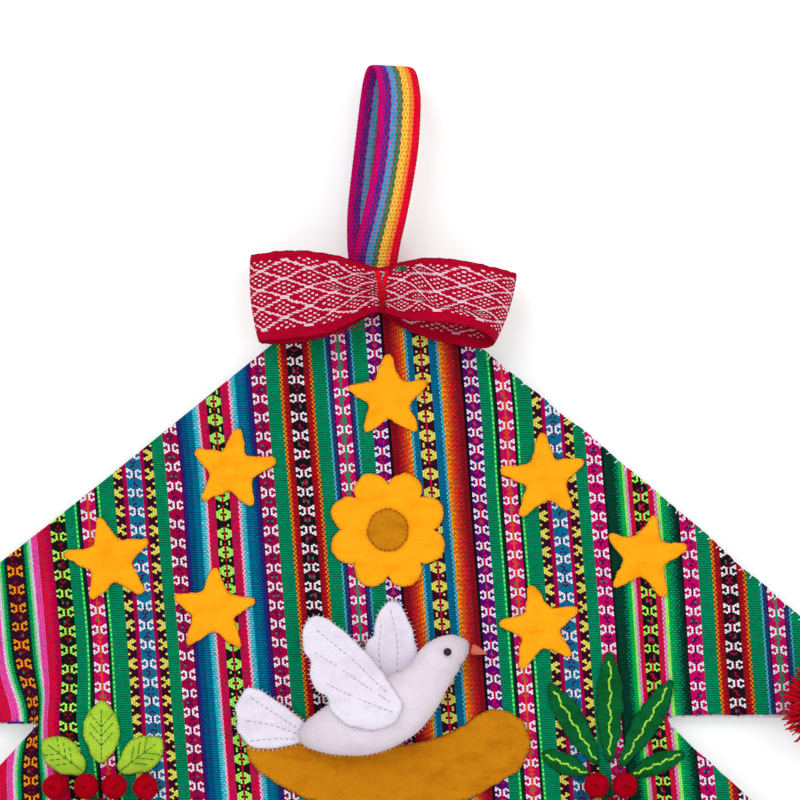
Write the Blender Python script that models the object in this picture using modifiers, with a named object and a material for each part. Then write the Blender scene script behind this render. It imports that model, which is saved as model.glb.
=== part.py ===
"""Wall hanging of striped hand-woven cloth, cut as a fir tree of two tiers and hung from a strap loop.

Metres, +Z up, the front faces -Y. The origin is the point inside the top of the strap loop that rests on
the nail. Tables are in millimetres and are turned to metres where they are read.
"""
import math

import bmesh
import bpy
from mathutils import Matrix, Vector

MM = 0.001

# Cloth thicknesses and the air that touching pieces keep.
GAP = 0.3 * MM
PANEL_THICK = 1.5 * MM
BACKING_THICK = 1.0 * MM
FELT_THICK = 1.5 * MM
STRAP_THICK = 1.2 * MM
RIBBON_THICK = 1.0 * MM

# Depths of the middle planes, counted back (+Y) from the nail.
PANEL_Y = 10.15 * MM
PANEL_FRONT = PANEL_Y - PANEL_THICK / 2
BACKING_Y = PANEL_Y + PANEL_THICK / 2 + GAP + BACKING_THICK / 2
FELT_STEP = FELT_THICK + GAP
FELT_Y = PANEL_FRONT - GAP - FELT_THICK / 2

# The hang of the cloth: broad soft waves that fade out under the bow, and side wings that come forward a
# little. Starts and slants are in radians.
WAVE_DEPTH = 1.7 * MM
WAVE_LENGTH = 390 * MM
WAVE_START = 0.7
CROSS_WAVE_DEPTH = 0.8 * MM
CROSS_WAVE_LENGTH = 330 * MM
CROSS_WAVE_SLANT = 2.0
WING_DEPTH = 5.0 * MM
WING_START = 140 * MM
WING_REACH = 190 * MM
FLAT_ABOVE = -115 * MM
WAVES_FULL_BELOW = -230 * MM

# Size of the squares that a sheet is divided into, how many of its thicknesses its cutter reaches, and the
# distance within which corners are welded.
PANEL_CELL = 30 * MM
FELT_CELL = 15 * MM
WING_CELL = 6 * MM
CUTTER_REACH = 4
WELD = 0.01 * MM

# The cut edge of the tree, clockwise from the point under the bow (x, z).
TREE_EDGE = (
    (-12, -97), (-6, -97), (48.5, -142.5), (103.5, -187), (131.7, -210.7), (152.4, -228),
    (172.3, -246.3), (203.5, -272.9), (229, -294.5), (237, -303), (238, -313), (228, -321),
    (137, -322), (138.8, -328), (167.9, -354.7), (298, -470), (304, -478), (296, -485),
    (41, -486), (41, -526), (-58, -527), (-58, -485),
    (-320, -486), (-329, -479), (-323.8, -471), (-196.5, -347.5), (-176, -326.5),
    (-262, -325), (-273, -317), (-265, -301), (-196.5, -246.3), (-143, -204), (-61, -137.5),
)
BACKING_DROP = 2.0 * MM
BACKING_NARROWER = 0.994

# The strap loop from its back end, over the nail, to its front end: middle line and turn of its width in
# degrees.
STRAP_WIDTH = 23 * MM
STRAP_STATIONS = 44
STRAP_ROUTE = (
    # x, z, y, turn
    (-10.5, -116, 8.5, 0), (-10.5, -105, 8.5, 0), (-10.8, -97, 8.4, 0), (-11.6, -88, 9.0, 7),
    (-12, -79, 10.0, 15), (-12, -69, 10.9, 21), (-10.3, -50.5, 11.6, 25), (-7.8, -29.5, 11.2, 25),
    (-5.6, -12, 8.6, 25), (-3.6, -2.6, 4.6, 25), (-1.2, 0.6, 0, 25), (1.4, -2.6, -4.8, 25),
    (3.0, -11, -9.6, 25), (3.2, -20, -12, 25), (1.5, -40, -13.4, 25), (-1.6, -59.5, -12, 25),
    (-4.6, -75, -7.6, 18), (-7.2, -86, -0.6, 10), (-8.8, -94, 5.4, 3), (-9.6, -101, 7.0, 0),
    (-10, -116, 7.0, 0),
)

# The ribbon ring of the bow, once round from the front of the waist by the left loop: its top and bottom
# edges and how far it is gathered (0 flat, 1 pressed into the waist).
RIBBON_STATIONS = 46
RIBBON_POINTS_ACROSS = 9
RIBBON_CUP = 2.6 * MM
RIBBON_CUP_FULL_AT = 10 * MM
FRONT_PLY_BEFORE = 3.0 * MM
PLEAT_DEPTH = 1.2 * MM
WAIST_PLEAT_DEPTH = 0.2 * MM
PLEATS = 1.5
RIBBON_ROUTE = (
    # top x, z, y, bottom x, z, y, gather
    (-6.5, -99, 1.8, -6.5, -121.5, 1.8, 1),
    (-15, -97, -0.6, -15, -124, -1.4, 0.55),
    (-30.5, -92.8, -7, -30.5, -131.8, -9, 0.1),
    (-49, -91, -9.5, -48, -134.8, -11, 0),
    (-64, -92.3, -6.5, -61.5, -136, -7, 0),
    (-70.5, -93, -1, -66.4, -136.4, -0.6, 0),
    (-65, -93.4, 3.6, -61, -137.2, 4.0, 0),
    (-48, -93.4, 4.6, -47, -136.6, 5.2, 0),
    (-30, -96, 4.0, -30, -132.4, 4.4, 0.1),
    (-15, -98.6, 4.0, -15, -125, 4.0, 0.55),
    (-6.5, -99, 3.9, -6.5, -121.5, 3.9, 1),
    (2.5, -98.6, 4.0, 2.5, -126, 3.8, 0.55),
    (18, -96, 3.8, 18, -132.8, 2.2, 0.1),
    (36, -98, 3.2, 34.5, -136.5, 1.0, 0),
    (51, -101, 2.6, 45, -138.2, -1.0, 0),
    (61, -102.4, -2.4, 50, -136.4, -7.5, 0),
    (57, -100.6, -7.4, 47, -133, -17, 0),
    (48.3, -98.5, -10.4, 41, -129, -22, 0),
    (34.5, -95.7, -11.4, 31, -124.5, -24.5, 0),
    (17.8, -94, -9, 17.5, -120.6, -20, 0),
    (4.5, -96, -2.6, 4.5, -121, -6, 0.5),
)

# The thread wound round the waist: a flat band on an upright oval.
BINDING_X = -6.5 * MM
BINDING_WIDTH = 3.6 * MM
BINDING_THICK = 0.9 * MM
BINDING_FRONT = -0.4 * MM
BINDING_BACK = 5.65 * MM
BINDING_TOP = -96.4 * MM
BINDING_BOTTOM = -124.2 * MM
BINDING_STATIONS = 24
# Powers under 1 square the oval, so that it clears the flat waist inside it.
BINDING_POWER_Y = 0.45
BINDING_POWER_Z = 0.75

# Gold felt on the front.
STAR_TIPS = 5
STAR_RADIUS = 22 * MM
STAR_INNER = 0.46
STAR_TIP_HALF_ANGLE = 4.0
STARS = (
    # x, z, turn
    (-2.5, -164, 3), (-80.5, -200, -8), (76, -204, 6), (-141.5, -245, 12), (126, -243, -10),
    (-89, -270, -4), (73.5, -279, 9),
)
FLOWER_AT = (-2.5, -230)
FLOWER_RADIUS = 30 * MM
FLOWER_PETALS = 8
FLOWER_NOTCH = 0.24
PETAL_STEPS = 6
PETAL_ROUNDNESS = 0.7
FLOWER_HEART_RADIUS = 10.5 * MM
FLOWER_HEART_STEPS = 20

# Ochre felt band under the bird.
SWAG_CENTRE = (-2.5, -265)
SWAG_RADIUS = 90 * MM
SWAG_HALF_WIDTH = 17 * MM
SWAG_HALF_ANGLE = 37
SWAG_STEPS = 14
SWAG_CAP_STEPS = 6

# The stuffed white bird: its middle line from tail to bill, with half height and half depth of the body.
BIRD_LINE = (
    # x, z, half height, half depth
    (-47, -332, 3.0, 2.6), (-41, -331.5, 8, 6), (-29.5, -329, 13, 10), (-15.5, -325, 16.5, 12.5),
    (-1.5, -319.5, 17, 13), (9.5, -312, 14.5, 11.5), (17, -303.5, 11.5, 10), (22.5, -295.5, 11, 10),
    (29, -290.5, 9.5, 8.5), (35, -289, 6, 5.5), (38, -289, 2.5, 2.5),
)
BIRD_SIDES = 12
BIRD_STATIONS = 15
BIRD_SAMPLES = 60
BIRD_BACK = FELT_Y - FELT_STEP - FELT_THICK / 2 - GAP
BIRD_BACK_SHARE = 0.7
FAR_WING_EDGE = (
    (12.5, -310), (13.5, -295), (9.5, -279), (3.5, -266), (-2.5, -265), (-8.5, -273), (-9.5, -283),
    (-13.5, -285), (-15.5, -295), (-10.5, -310),
)
NEAR_WING_EDGE = (
    (5.5, -315), (-4.5, -300), (-20.5, -283), (-33.5, -273), (-40.5, -272), (-45, -279), (-45, -290),
    (-40, -295), (-42, -302), (-37.5, -310), (-32, -311), (-31.5, -318), (-23.5, -325), (-9.5, -328),
    (1.5, -324),
)
NEAR_WING_AIR = 0.8 * MM
NEAR_WING_TIP_LIFT = 5.0 * MM
# Where the near wing leaves the swell of the body, in half heights from the middle line.
WING_LEAVES_AT = 0.8
WING_HAS_LEFT_AT = 1.9
TAIL_EDGE = (
    (-43.5, -326), (-53.5, -318), (-65.5, -310), (-73.5, -308), (-76.5, -314), (-79.5, -318),
    (-77.5, -324), (-78.5, -330), (-74.5, -334), (-70.5, -339), (-60.5, -339), (-48.5, -337), (-42.5, -334),
)
BILL_ROOT = (38.9, -289)
BILL_TIP = (47, -291.5)
BILL_RADIUS = 2.6 * MM
BILL_TIP_RADIUS = 0.4 * MM
BILL_SIDES = 10
BILL_LIFT = 3.4 * MM
EYE_AT = (27, -289.5)
EYE_RADIUS = 2.0 * MM
BEAD_ROUGHNESS = 0.3

# Sprays of felt leaves, each leaf from a root it doesn't quite reach: angle up from +X, length, half width.
LEAF_ROOT_AIR = 11 * MM
ROUND_SPRAY_ROOT = (-145.5, -357)
ROUND_SPRAY = ((143, 26, 9), (90, 31, 9.5), (37, 27, 9))
LONG_SPRAY_ROOT = (108.5, -357)
LONG_SPRAY = ((156, 27, 5.5), (121, 48, 6.8), (90, 56, 7), (59, 50, 6.8), (23, 30, 5.5))
LEAF_SHAPE = (
    # share of the length, share of the half width
    (0.0, 0.24), (0.12, 0.5), (0.3, 0.82), (0.5, 1.0), (0.7, 0.88), (0.86, 0.56), (0.96, 0.26),
)

# Red wool balls among the leaves (x, z).
BALL_RADIUS = 6.5 * MM
BALL_SIDES = 10
BALL_RINGS = 7
BALLS = (
    (-152.5, -357), (-138.5, -357), (-145.5, -369.3), (-168, -357.5), (-123, -357.5),
    (101.5, -357), (115.5, -357), (108.5, -369.3), (94, -371), (123, -371),
)

# Yarn pompoms at the corners of the upper tier.
POMPOMS = (("pompom_left", -252, -317.5), ("pompom_right", 217.5, -317.5))
POMPOM_CORE = 10 * MM
POMPOM_RADIUS = 24 * MM
STRAND_TIP_SHARE = 0.12

# Colours, as linear red, green and blue.
GOLD = (0.93, 0.38, 0.012)
OCHRE = (0.48, 0.19, 0.006)
WHITE = (0.78, 0.75, 0.80)
CRIMSON = (0.45, 0.004, 0.024)
RED_WOOL = (0.47, 0.002, 0.018)
LIME = (0.37, 0.57, 0.04)
DEEP_GREEN = (0.002, 0.10, 0.022)
CLOTH_GREEN = (0.002, 0.21, 0.09)
RAINBOW = (0.55, 0.10, 0.25)
SALMON = (0.83, 0.20, 0.15)
BLACK = (0.01, 0.01, 0.012)


def smooth_step(low, high, value):
    share = min(1.0, max(0.0, (value - low) / (high - low)))
    return share * share * (3 - 2 * share)


def hang(x, z):
    """How far the cloth lies behind (+) or before (-) its middle plane at a place."""
    fade = smooth_step(-FLAT_ABOVE, -WAVES_FULL_BELOW, -z)
    wave = WAVE_DEPTH * math.sin(math.tau * x / WAVE_LENGTH + WAVE_START)
    slant = CROSS_WAVE_SLANT * x / WAVE_LENGTH
    cross = CROSS_WAVE_DEPTH * math.sin(math.tau * z / CROSS_WAVE_LENGTH + slant)
    wing = max(0.0, (abs(x) - WING_START) / WING_REACH)
    return fade * (wave + cross) - WING_DEPTH * wing * wing


def in_metres(points):
    return [tuple(value * MM for value in point) for point in points]


def spline(rows, stations, closed):
    """Reads `stations` rows from the smooth curve through the given rows."""
    count = len(rows)
    spans = count if closed else count - 1
    found = []
    for station in range(stations):
        place = station * spans / (stations if closed else stations - 1)
        span = min(int(place), spans - 1)
        t = place - span
        row = []
        for column in range(len(rows[0])):
            p = []
            for step in (-1, 0, 1, 2):
                index = (span + step) % count if closed else min(max(span + step, 0), count - 1)
                p.append(rows[index][column])
            row.append(0.5 * (2 * p[1] + (p[2] - p[0]) * t + (2 * p[0] - 5 * p[1] + 4 * p[2] - p[3]) * t * t
                              + (3 * p[1] - p[0] - 3 * p[2] + p[3]) * t ** 3))
        found.append(row)
    return found


def finish(colour, name, roughness=0.9):
    material = bpy.data.materials.new(name)
    material.use_nodes = True
    surface = material.node_tree.nodes["Principled BSDF"]
    surface.inputs["Base Color"].default_value = (*colour, 1)
    surface.inputs["Roughness"].default_value = roughness
    return material


def place(name, mesh, material):
    mesh.name = name
    mesh.materials.clear()
    mesh.materials.append(material)
    piece = bpy.data.objects.new(name, mesh)
    hanging.objects.link(piece)
    return piece


def mesh_of(build):
    mesh = bpy.data.meshes.new("piece")
    build.to_mesh(mesh)
    build.free()
    return mesh


def evaluated(helper):
    """The helper's mesh with its modifiers, as a mesh of its own; the helper goes."""
    bpy.context.view_layer.update()
    mesh = bpy.data.meshes.new_from_object(helper.evaluated_get(bpy.context.evaluated_depsgraph_get()))
    bpy.data.objects.remove(helper)
    return mesh


def outline_block(edge, reach):
    """The outline as a block that runs `reach` before and behind the plane y = 0."""
    curve = bpy.data.curves.new("outline", "CURVE")
    curve.dimensions = "2D"
    curve.fill_mode = "BOTH"
    curve.extrude = reach
    line = curve.splines.new("POLY")
    line.points.add(len(edge) - 1)
    for point, (x, z) in zip(line.points, edge):
        point.co = (x, z, 0, 1)
    line.use_cyclic_u = True
    helper = bpy.data.objects.new("outline", curve)
    cutters.objects.link(helper)
    mesh = evaluated(helper)
    build = bmesh.new()
    build.from_mesh(mesh)
    bmesh.ops.remove_doubles(build, verts=build.verts, dist=WELD)
    bmesh.ops.transform(build, matrix=Matrix.Rotation(math.pi / 2, 4, "X"), verts=build.verts)
    bmesh.ops.recalc_face_normals(build, faces=build.faces)
    build.to_mesh(mesh)
    build.free()
    return mesh


def cut_sheet(name, edge, cell, thick, middle, material):
    """A sheet cut to `edge` (x, z in metres), whose middle plane lies at y = middle(x, z)."""
    low_x, low_z = (math.floor(min(values) / cell) for values in zip(*edge))
    high_x, high_z = (math.ceil(max(values) / cell) for values in zip(*edge))
    build = bmesh.new()
    bmesh.ops.create_grid(build, x_segments=high_x - low_x, y_segments=high_z - low_z, size=0.5)
    size = Matrix.Diagonal(((high_x - low_x) * cell, (high_z - low_z) * cell, 1, 1))
    middle_point = ((low_x + high_x) * cell / 2, 0, (low_z + high_z) * cell / 2)
    stand = Matrix.Translation(middle_point) @ Matrix.Rotation(math.pi / 2, 4, "X") @ size
    bmesh.ops.transform(build, matrix=stand, verts=build.verts)
    slab = bpy.data.objects.new("slab", mesh_of(build))
    cutters.objects.link(slab)
    block = bpy.data.objects.new("block", outline_block(edge, CUTTER_REACH * thick))
    cutters.objects.link(block)
    body = slab.modifiers.new("thickness", "SOLIDIFY")
    body.thickness = thick
    body.offset = 0
    cut = slab.modifiers.new("cut", "BOOLEAN")
    cut.operation = "INTERSECT"
    cut.object = block
    mesh = evaluated(slab)
    bpy.data.objects.remove(block)
    for vertex in mesh.vertices:
        vertex.co.y += middle(vertex.co.x, vertex.co.z)
    return place(name, mesh, material)


def lay_on_cloth(layer):
    """The middle plane of felt in the given layer on the cloth, the first being 1."""
    depth = FELT_Y - (layer - 1) * FELT_STEP
    return lambda x, z: depth + hang(x, z)


def surface_band(name, rows, closed, thick, material):
    """A band through rows of points, given its thickness evenly to both sides."""
    build = bmesh.new()
    lines = [[build.verts.new(point) for point in row] for row in rows]
    last = len(lines) if closed else len(lines) - 1
    for index in range(last):
        here, there = lines[index], lines[(index + 1) % len(lines)]
        for side in range(len(here) - 1):
            build.faces.new((here[side], here[side + 1], there[side + 1], there[side]))
    bmesh.ops.recalc_face_normals(build, faces=build.faces)
    band = place(name, mesh_of(build), material)
    body = band.modifiers.new("thickness", "SOLIDIFY")
    body.thickness = thick
    body.offset = 0
    band.data.shade_smooth()
    return band


def star_edge(x, z, turn):
    edge = []
    blunt = math.radians(STAR_TIP_HALF_ANGLE)
    inner = STAR_RADIUS * STAR_INNER
    for tip in range(STAR_TIPS):
        angle = math.radians(90 + turn) - math.tau * tip / STAR_TIPS
        for a in (angle + blunt, angle - blunt):
            edge.append((x + STAR_RADIUS * math.cos(a), z + STAR_RADIUS * math.sin(a)))
        notch = angle - math.pi / STAR_TIPS
        edge.append((x + inner * math.cos(notch), z + inner * math.sin(notch)))
    return edge


def flower_edge():
    x, z = in_metres([FLOWER_AT])[0]
    edge = []
    steps = FLOWER_PETALS * PETAL_STEPS
    for step in range(steps):
        angle = -math.tau * step / steps
        dip = 1 - abs(math.sin(FLOWER_PETALS * angle / 2)) ** PETAL_ROUNDNESS
        radius = FLOWER_RADIUS * (1 - FLOWER_NOTCH * dip)
        edge.append((x + radius * math.cos(angle), z + radius * math.sin(angle)))
    return edge


def round_edge(x, z, radius, steps):
    turns = [-math.tau * step / steps for step in range(steps)]
    return [(x + radius * math.cos(a), z + radius * math.sin(a)) for a in turns]


def leaf_edge(root, angle, length, half_width):
    """A leaf from its blunt base, a little off the root of the spray, to its tip."""
    out = Vector((math.cos(math.radians(angle)), math.sin(math.radians(angle))))
    across = Vector((out.y, -out.x)) * half_width * MM
    base = Vector(root) * MM + out * LEAF_ROOT_AIR
    left = [base + out * length * MM * share - across * width for share, width in LEAF_SHAPE]
    right = [base + out * length * MM * share + across * width for share, width in LEAF_SHAPE]
    return [tuple(point) for point in left + [base + out * length * MM] + right[::-1]]


def swag_edge():
    x, z = in_metres([SWAG_CENTRE])[0]
    first, last = math.radians(-90 - SWAG_HALF_ANGLE), math.radians(-90 + SWAG_HALF_ANGLE)
    arc = [first + (last - first) * step / SWAG_STEPS for step in range(SWAG_STEPS + 1)]

    def cap(angle, start):
        centre_x, centre_z = x + SWAG_RADIUS * math.cos(angle), z + SWAG_RADIUS * math.sin(angle)
        turns = [start + math.pi * step / SWAG_CAP_STEPS for step in range(1, SWAG_CAP_STEPS)]
        return [(centre_x + SWAG_HALF_WIDTH * math.cos(a), centre_z + SWAG_HALF_WIDTH * math.sin(a))
                for a in turns]

    outer, inner = SWAG_RADIUS + SWAG_HALF_WIDTH, SWAG_RADIUS - SWAG_HALF_WIDTH
    edge = [(x + outer * math.cos(a), z + outer * math.sin(a)) for a in arc]
    edge += cap(last, last)
    edge += [(x + inner * math.cos(a), z + inner * math.sin(a)) for a in reversed(arc)]
    edge += cap(first, first + math.pi)
    return edge


def make_panel_and_backing():
    edge = in_metres(TREE_EDGE)
    cloth = finish(CLOTH_GREEN, "striped_cloth")
    cut_sheet("panel", edge, PANEL_CELL, PANEL_THICK, lambda x, z: PANEL_Y + hang(x, z), cloth)
    behind = [(x * BACKING_NARROWER, z - BACKING_DROP) for x, z in edge]
    lining = finish(WHITE, "white_cloth")
    cut_sheet("backing", behind, PANEL_CELL, BACKING_THICK, lambda x, z: BACKING_Y + hang(x, z), lining)


def make_strap():
    rows = []
    for x, z, y, turn in spline(STRAP_ROUTE, STRAP_STATIONS, closed=False):
        middle = Vector((x, y, z)) * MM
        half = Vector((math.cos(math.radians(turn)), math.sin(math.radians(turn)), 0)) * STRAP_WIDTH / 2
        rows.append((middle - half, middle, middle + half))
    surface_band("strap_loop", rows, False, STRAP_THICK, finish(RAINBOW, "strap_webbing"))


def make_bow():
    rows = []
    for *edges, gather in spline(RIBBON_ROUTE, RIBBON_STATIONS, closed=True):
        top_x, top_z, top_y, low_x, low_z, low_y = (value * MM for value in edges)
        top, low = Vector((top_x, top_y, top_z)), Vector((low_x, low_y, low_z))
        gather = min(1.0, max(0.0, gather))
        pleat = 4 * gather * (1 - gather) * PLEAT_DEPTH + gather * WAIST_PLEAT_DEPTH
        front = -1 if top_y < FRONT_PLY_BEFORE else 1
        cup = (1 - gather) * RIBBON_CUP * max(0.0, -top_y / RIBBON_CUP_FULL_AT) * front
        row = []
        for step in range(RIBBON_POINTS_ACROSS):
            share = step / (RIBBON_POINTS_ACROSS - 1)
            point = top.lerp(low, share)
            point.y += cup * math.sin(math.pi * share) + pleat * math.sin(math.tau * PLEATS * share)
            row.append(point)
        rows.append(row)
    surface_band("bow_ribbon", rows, True, RIBBON_THICK, finish(CRIMSON, "patterned_ribbon"))


def make_binding():
    middle_y, middle_z = (BINDING_FRONT + BINDING_BACK) / 2, (BINDING_TOP + BINDING_BOTTOM) / 2
    half_y, half_z = (BINDING_BACK - BINDING_FRONT) / 2, (BINDING_TOP - BINDING_BOTTOM) / 2
    rows = []
    for station in range(BINDING_STATIONS):
        angle = math.tau * station / BINDING_STATIONS
        out, up = math.cos(angle), math.sin(angle)
        y = middle_y + half_y * math.copysign(abs(out) ** BINDING_POWER_Y, out)
        z = middle_z + half_z * math.copysign(abs(up) ** BINDING_POWER_Z, up)
        rows.append([Vector((BINDING_X + side * BINDING_WIDTH / 2, y, z)) for side in (-1, 1)])
    surface_band("bow_binding", rows, True, BINDING_THICK, finish(RED_WOOL, "red_thread"))


def make_gold_felt():
    gold = finish(GOLD, "gold_felt")
    for number, (x, z, turn) in enumerate(STARS, 1):
        edge = star_edge(x * MM, z * MM, turn)
        cut_sheet(f"star_{number}", edge, FELT_CELL, FELT_THICK, lay_on_cloth(1), gold)
    cut_sheet("flower", flower_edge(), FELT_CELL, FELT_THICK, lay_on_cloth(1), gold)
    ochre = finish(OCHRE, "ochre_felt")
    x, z = in_metres([FLOWER_AT])[0]
    heart = round_edge(x, z, FLOWER_HEART_RADIUS, FLOWER_HEART_STEPS)
    cut_sheet("flower_heart", heart, FELT_CELL, FELT_THICK, lay_on_cloth(2), ochre)
    cut_sheet("swag", swag_edge(), FELT_CELL, FELT_THICK, lay_on_cloth(1), ochre)


def bird_front(x, z):
    """The nearest place on the bird's middle line: (distance by half height, middle depth, half depth)."""
    best = None
    for line_x, line_z, half_height, half_depth in spline(BIRD_LINE, BIRD_SAMPLES, closed=False):
        far = math.hypot(x - line_x * MM, z - line_z * MM) / (half_height * MM)
        if best is None or far < best[0]:
            best = (far, half_depth * MM)
    return best


def near_wing_depth(x, z):
    """Lies over the swell of the body, then falls back towards the cloth as it leaves it."""
    far, half_depth = bird_front(x, z)
    inside = min(far, WING_LEAVES_AT)
    swell = half_depth * (BIRD_BACK_SHARE + math.sqrt(1 - inside * inside)) + NEAR_WING_AIR
    leave = smooth_step(WING_LEAVES_AT, WING_HAS_LEFT_AT, far)
    lift = swell * (1 - leave) + NEAR_WING_TIP_LIFT * leave
    return BIRD_BACK - lift - FELT_THICK / 2 + hang(x, z)


def make_bird():
    white = finish(WHITE, "white_felt")
    rings = []
    build = bmesh.new()
    line = spline(BIRD_LINE, BIRD_STATIONS, closed=False)
    for index, (x, z, half_height, half_depth) in enumerate(line):
        before, after = line[max(index - 1, 0)], line[min(index + 1, len(line) - 1)]
        along = Vector((after[0] - before[0], 0, after[1] - before[1])).normalized()
        across = Vector((-along.z, 0, along.x))
        back = BIRD_BACK + hang(x * MM, z * MM)
        middle = Vector((x * MM, back - half_depth * MM * BIRD_BACK_SHARE, z * MM))
        ring = []
        for side in range(BIRD_SIDES):
            angle = math.tau * side / BIRD_SIDES
            point = middle + across * math.cos(angle) * half_height * MM
            point.y -= math.sin(angle) * half_depth * MM
            point.y = min(point.y, BIRD_BACK + hang(point.x, point.z))
            ring.append(build.verts.new(point))
        rings.append(ring)
    for here, there in zip(rings, rings[1:]):
        for side in range(BIRD_SIDES):
            after = (side + 1) % BIRD_SIDES
            build.faces.new((here[side], here[after], there[after], there[side]))
    build.faces.new(rings[0])
    build.faces.new(rings[-1])
    bmesh.ops.recalc_face_normals(build, faces=build.faces)
    body = place("bird_body", mesh_of(build), white)
    body.data.shade_smooth()
    cut_sheet("bird_wing_far", in_metres(FAR_WING_EDGE), FELT_CELL, FELT_THICK, lay_on_cloth(2), white)
    cut_sheet("bird_tail", in_metres(TAIL_EDGE), FELT_CELL, FELT_THICK, lay_on_cloth(2), white)
    cut_sheet("bird_wing_near", in_metres(NEAR_WING_EDGE), WING_CELL, FELT_THICK, near_wing_depth, white)

    (root_x, root_z), (tip_x, tip_z) = in_metres([BILL_ROOT, BILL_TIP])
    head_y = BIRD_BACK + hang(root_x, root_z) - BILL_LIFT
    root, tip = Vector((root_x, head_y, root_z)), Vector((tip_x, head_y, tip_z))
    build = bmesh.new()
    bmesh.ops.create_cone(build, cap_ends=True, segments=BILL_SIDES, radius1=BILL_RADIUS,
                          radius2=BILL_TIP_RADIUS, depth=(tip - root).length)
    turn = (tip - root).to_track_quat("Z", "Y").to_matrix().to_4x4()
    bmesh.ops.transform(build, matrix=Matrix.Translation((root + tip) / 2) @ turn, verts=build.verts)
    place("bird_bill", mesh_of(build), finish(SALMON, "salmon_felt"))

    eye_x, eye_z = in_metres([EYE_AT])[0]
    far, half_depth = bird_front(eye_x, eye_z)
    front = BIRD_BACK + hang(eye_x, eye_z) - half_depth * (BIRD_BACK_SHARE + math.sqrt(1 - far * far))
    bead = finish(BLACK, "black_bead", BEAD_ROUGHNESS)
    add_ball("bird_eye", (eye_x, front - GAP - EYE_RADIUS, eye_z), EYE_RADIUS, bead)


def add_ball(name, middle, radius, material):
    build = bmesh.new()
    bmesh.ops.create_uvsphere(build, u_segments=BALL_SIDES, v_segments=BALL_RINGS, radius=radius)
    bmesh.ops.translate(build, verts=build.verts, vec=middle)
    ball = place(name, mesh_of(build), material)
    ball.data.shade_smooth()


def make_leaves_and_balls():
    sprays = (
        ("round_leaf", ROUND_SPRAY_ROOT, ROUND_SPRAY, finish(LIME, "lime_felt")),
        ("long_leaf", LONG_SPRAY_ROOT, LONG_SPRAY, finish(DEEP_GREEN, "green_felt")),
    )
    for name, root, spray, felt in sprays:
        for number, leaf in enumerate(spray, 1):
            edge = leaf_edge(root, *leaf)
            cut_sheet(f"{name}_{number}", edge, FELT_CELL, FELT_THICK, lay_on_cloth(1), felt)
    wool = finish(RED_WOOL, "red_wool")
    for number, (x, z) in enumerate(in_metres(BALLS), 1):
        rest = PANEL_FRONT + hang(x, z) - GAP
        add_ball(f"ball_{number}", (x, rest - BALL_RADIUS, z), BALL_RADIUS, wool)


def make_pompoms():
    """A wool heart whose every facet is drawn out into one three-sided strand."""
    yarn = finish(RED_WOOL, "red_yarn")
    for name, x, z in POMPOMS:
        x, z = x * MM, z * MM
        rest = PANEL_FRONT + hang(x, z) - GAP
        middle = Vector((x, rest - POMPOM_CORE, z))
        build = bmesh.new()
        bmesh.ops.create_icosphere(build, subdivisions=2, radius=POMPOM_CORE)
        for face in bmesh.ops.extrude_discrete_faces(build, faces=build.faces)["faces"]:
            centre = face.calc_center_median()
            out = centre.normalized()
            reach = POMPOM_RADIUS
            if out.y > 0:
                reach = min(reach, (POMPOM_CORE - GAP) / out.y)
            for vertex in face.verts:
                vertex.co = out * reach + (vertex.co - centre) * STRAND_TIP_SHARE
        bmesh.ops.translate(build, verts=build.verts, vec=middle)
        place(name, mesh_of(build), yarn)


for old in list(bpy.data.objects):
    bpy.data.objects.remove(old)
hanging = bpy.data.collections.new("Woven wall hanging")
bpy.context.scene.collection.children.link(hanging)
cutters = bpy.data.collections.new("Cutters")
bpy.context.scene.collection.children.link(cutters)

make_panel_and_backing()
make_strap()
make_bow()
make_binding()
make_gold_felt()
make_bird()
make_leaves_and_balls()
make_pompoms()
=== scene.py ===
"""The looks of the wall hanging: striped cloth cut as a fir tree, strap, ribbon bow, felt, bird and pompoms.

Metres, +Z up, the front faces -Y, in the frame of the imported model. Weaving is counted in millimetres.
"""
import math
import random

import bmesh
import bpy
from mathutils import Matrix, Vector, noise


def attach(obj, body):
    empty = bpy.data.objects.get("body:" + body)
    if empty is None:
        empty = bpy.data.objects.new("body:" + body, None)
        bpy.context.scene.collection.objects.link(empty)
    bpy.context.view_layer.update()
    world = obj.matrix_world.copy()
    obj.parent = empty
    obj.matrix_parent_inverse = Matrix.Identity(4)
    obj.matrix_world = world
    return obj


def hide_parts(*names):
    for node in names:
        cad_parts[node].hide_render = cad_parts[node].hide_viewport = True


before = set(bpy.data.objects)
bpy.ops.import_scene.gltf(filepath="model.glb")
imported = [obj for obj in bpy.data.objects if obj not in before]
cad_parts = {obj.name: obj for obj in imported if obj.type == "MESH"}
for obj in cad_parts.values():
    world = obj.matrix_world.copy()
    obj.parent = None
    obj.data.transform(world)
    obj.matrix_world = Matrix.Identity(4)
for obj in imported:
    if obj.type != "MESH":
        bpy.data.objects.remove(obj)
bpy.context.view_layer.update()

# The striped cloth: one piece of thick hand-woven cotton, cut as a fir tree of two tiers with a short trunk.
# Plain warp stripes run nearly upright between patterned ones, whose hooks and rings are picked out in a
# second yarn. Its edge is turned in and overcast.
MM = 0.001


def dyed(red, green, blue):
    """A dye matched in screen values up to 255, turned into the linear colour that a shader takes."""
    shares = [value / 255 for value in (red, green, blue)]
    return (*(s / 12.92 if s <= 0.04045 else ((s + 0.055) / 1.055) ** 2.4 for s in shares), 1)


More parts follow.
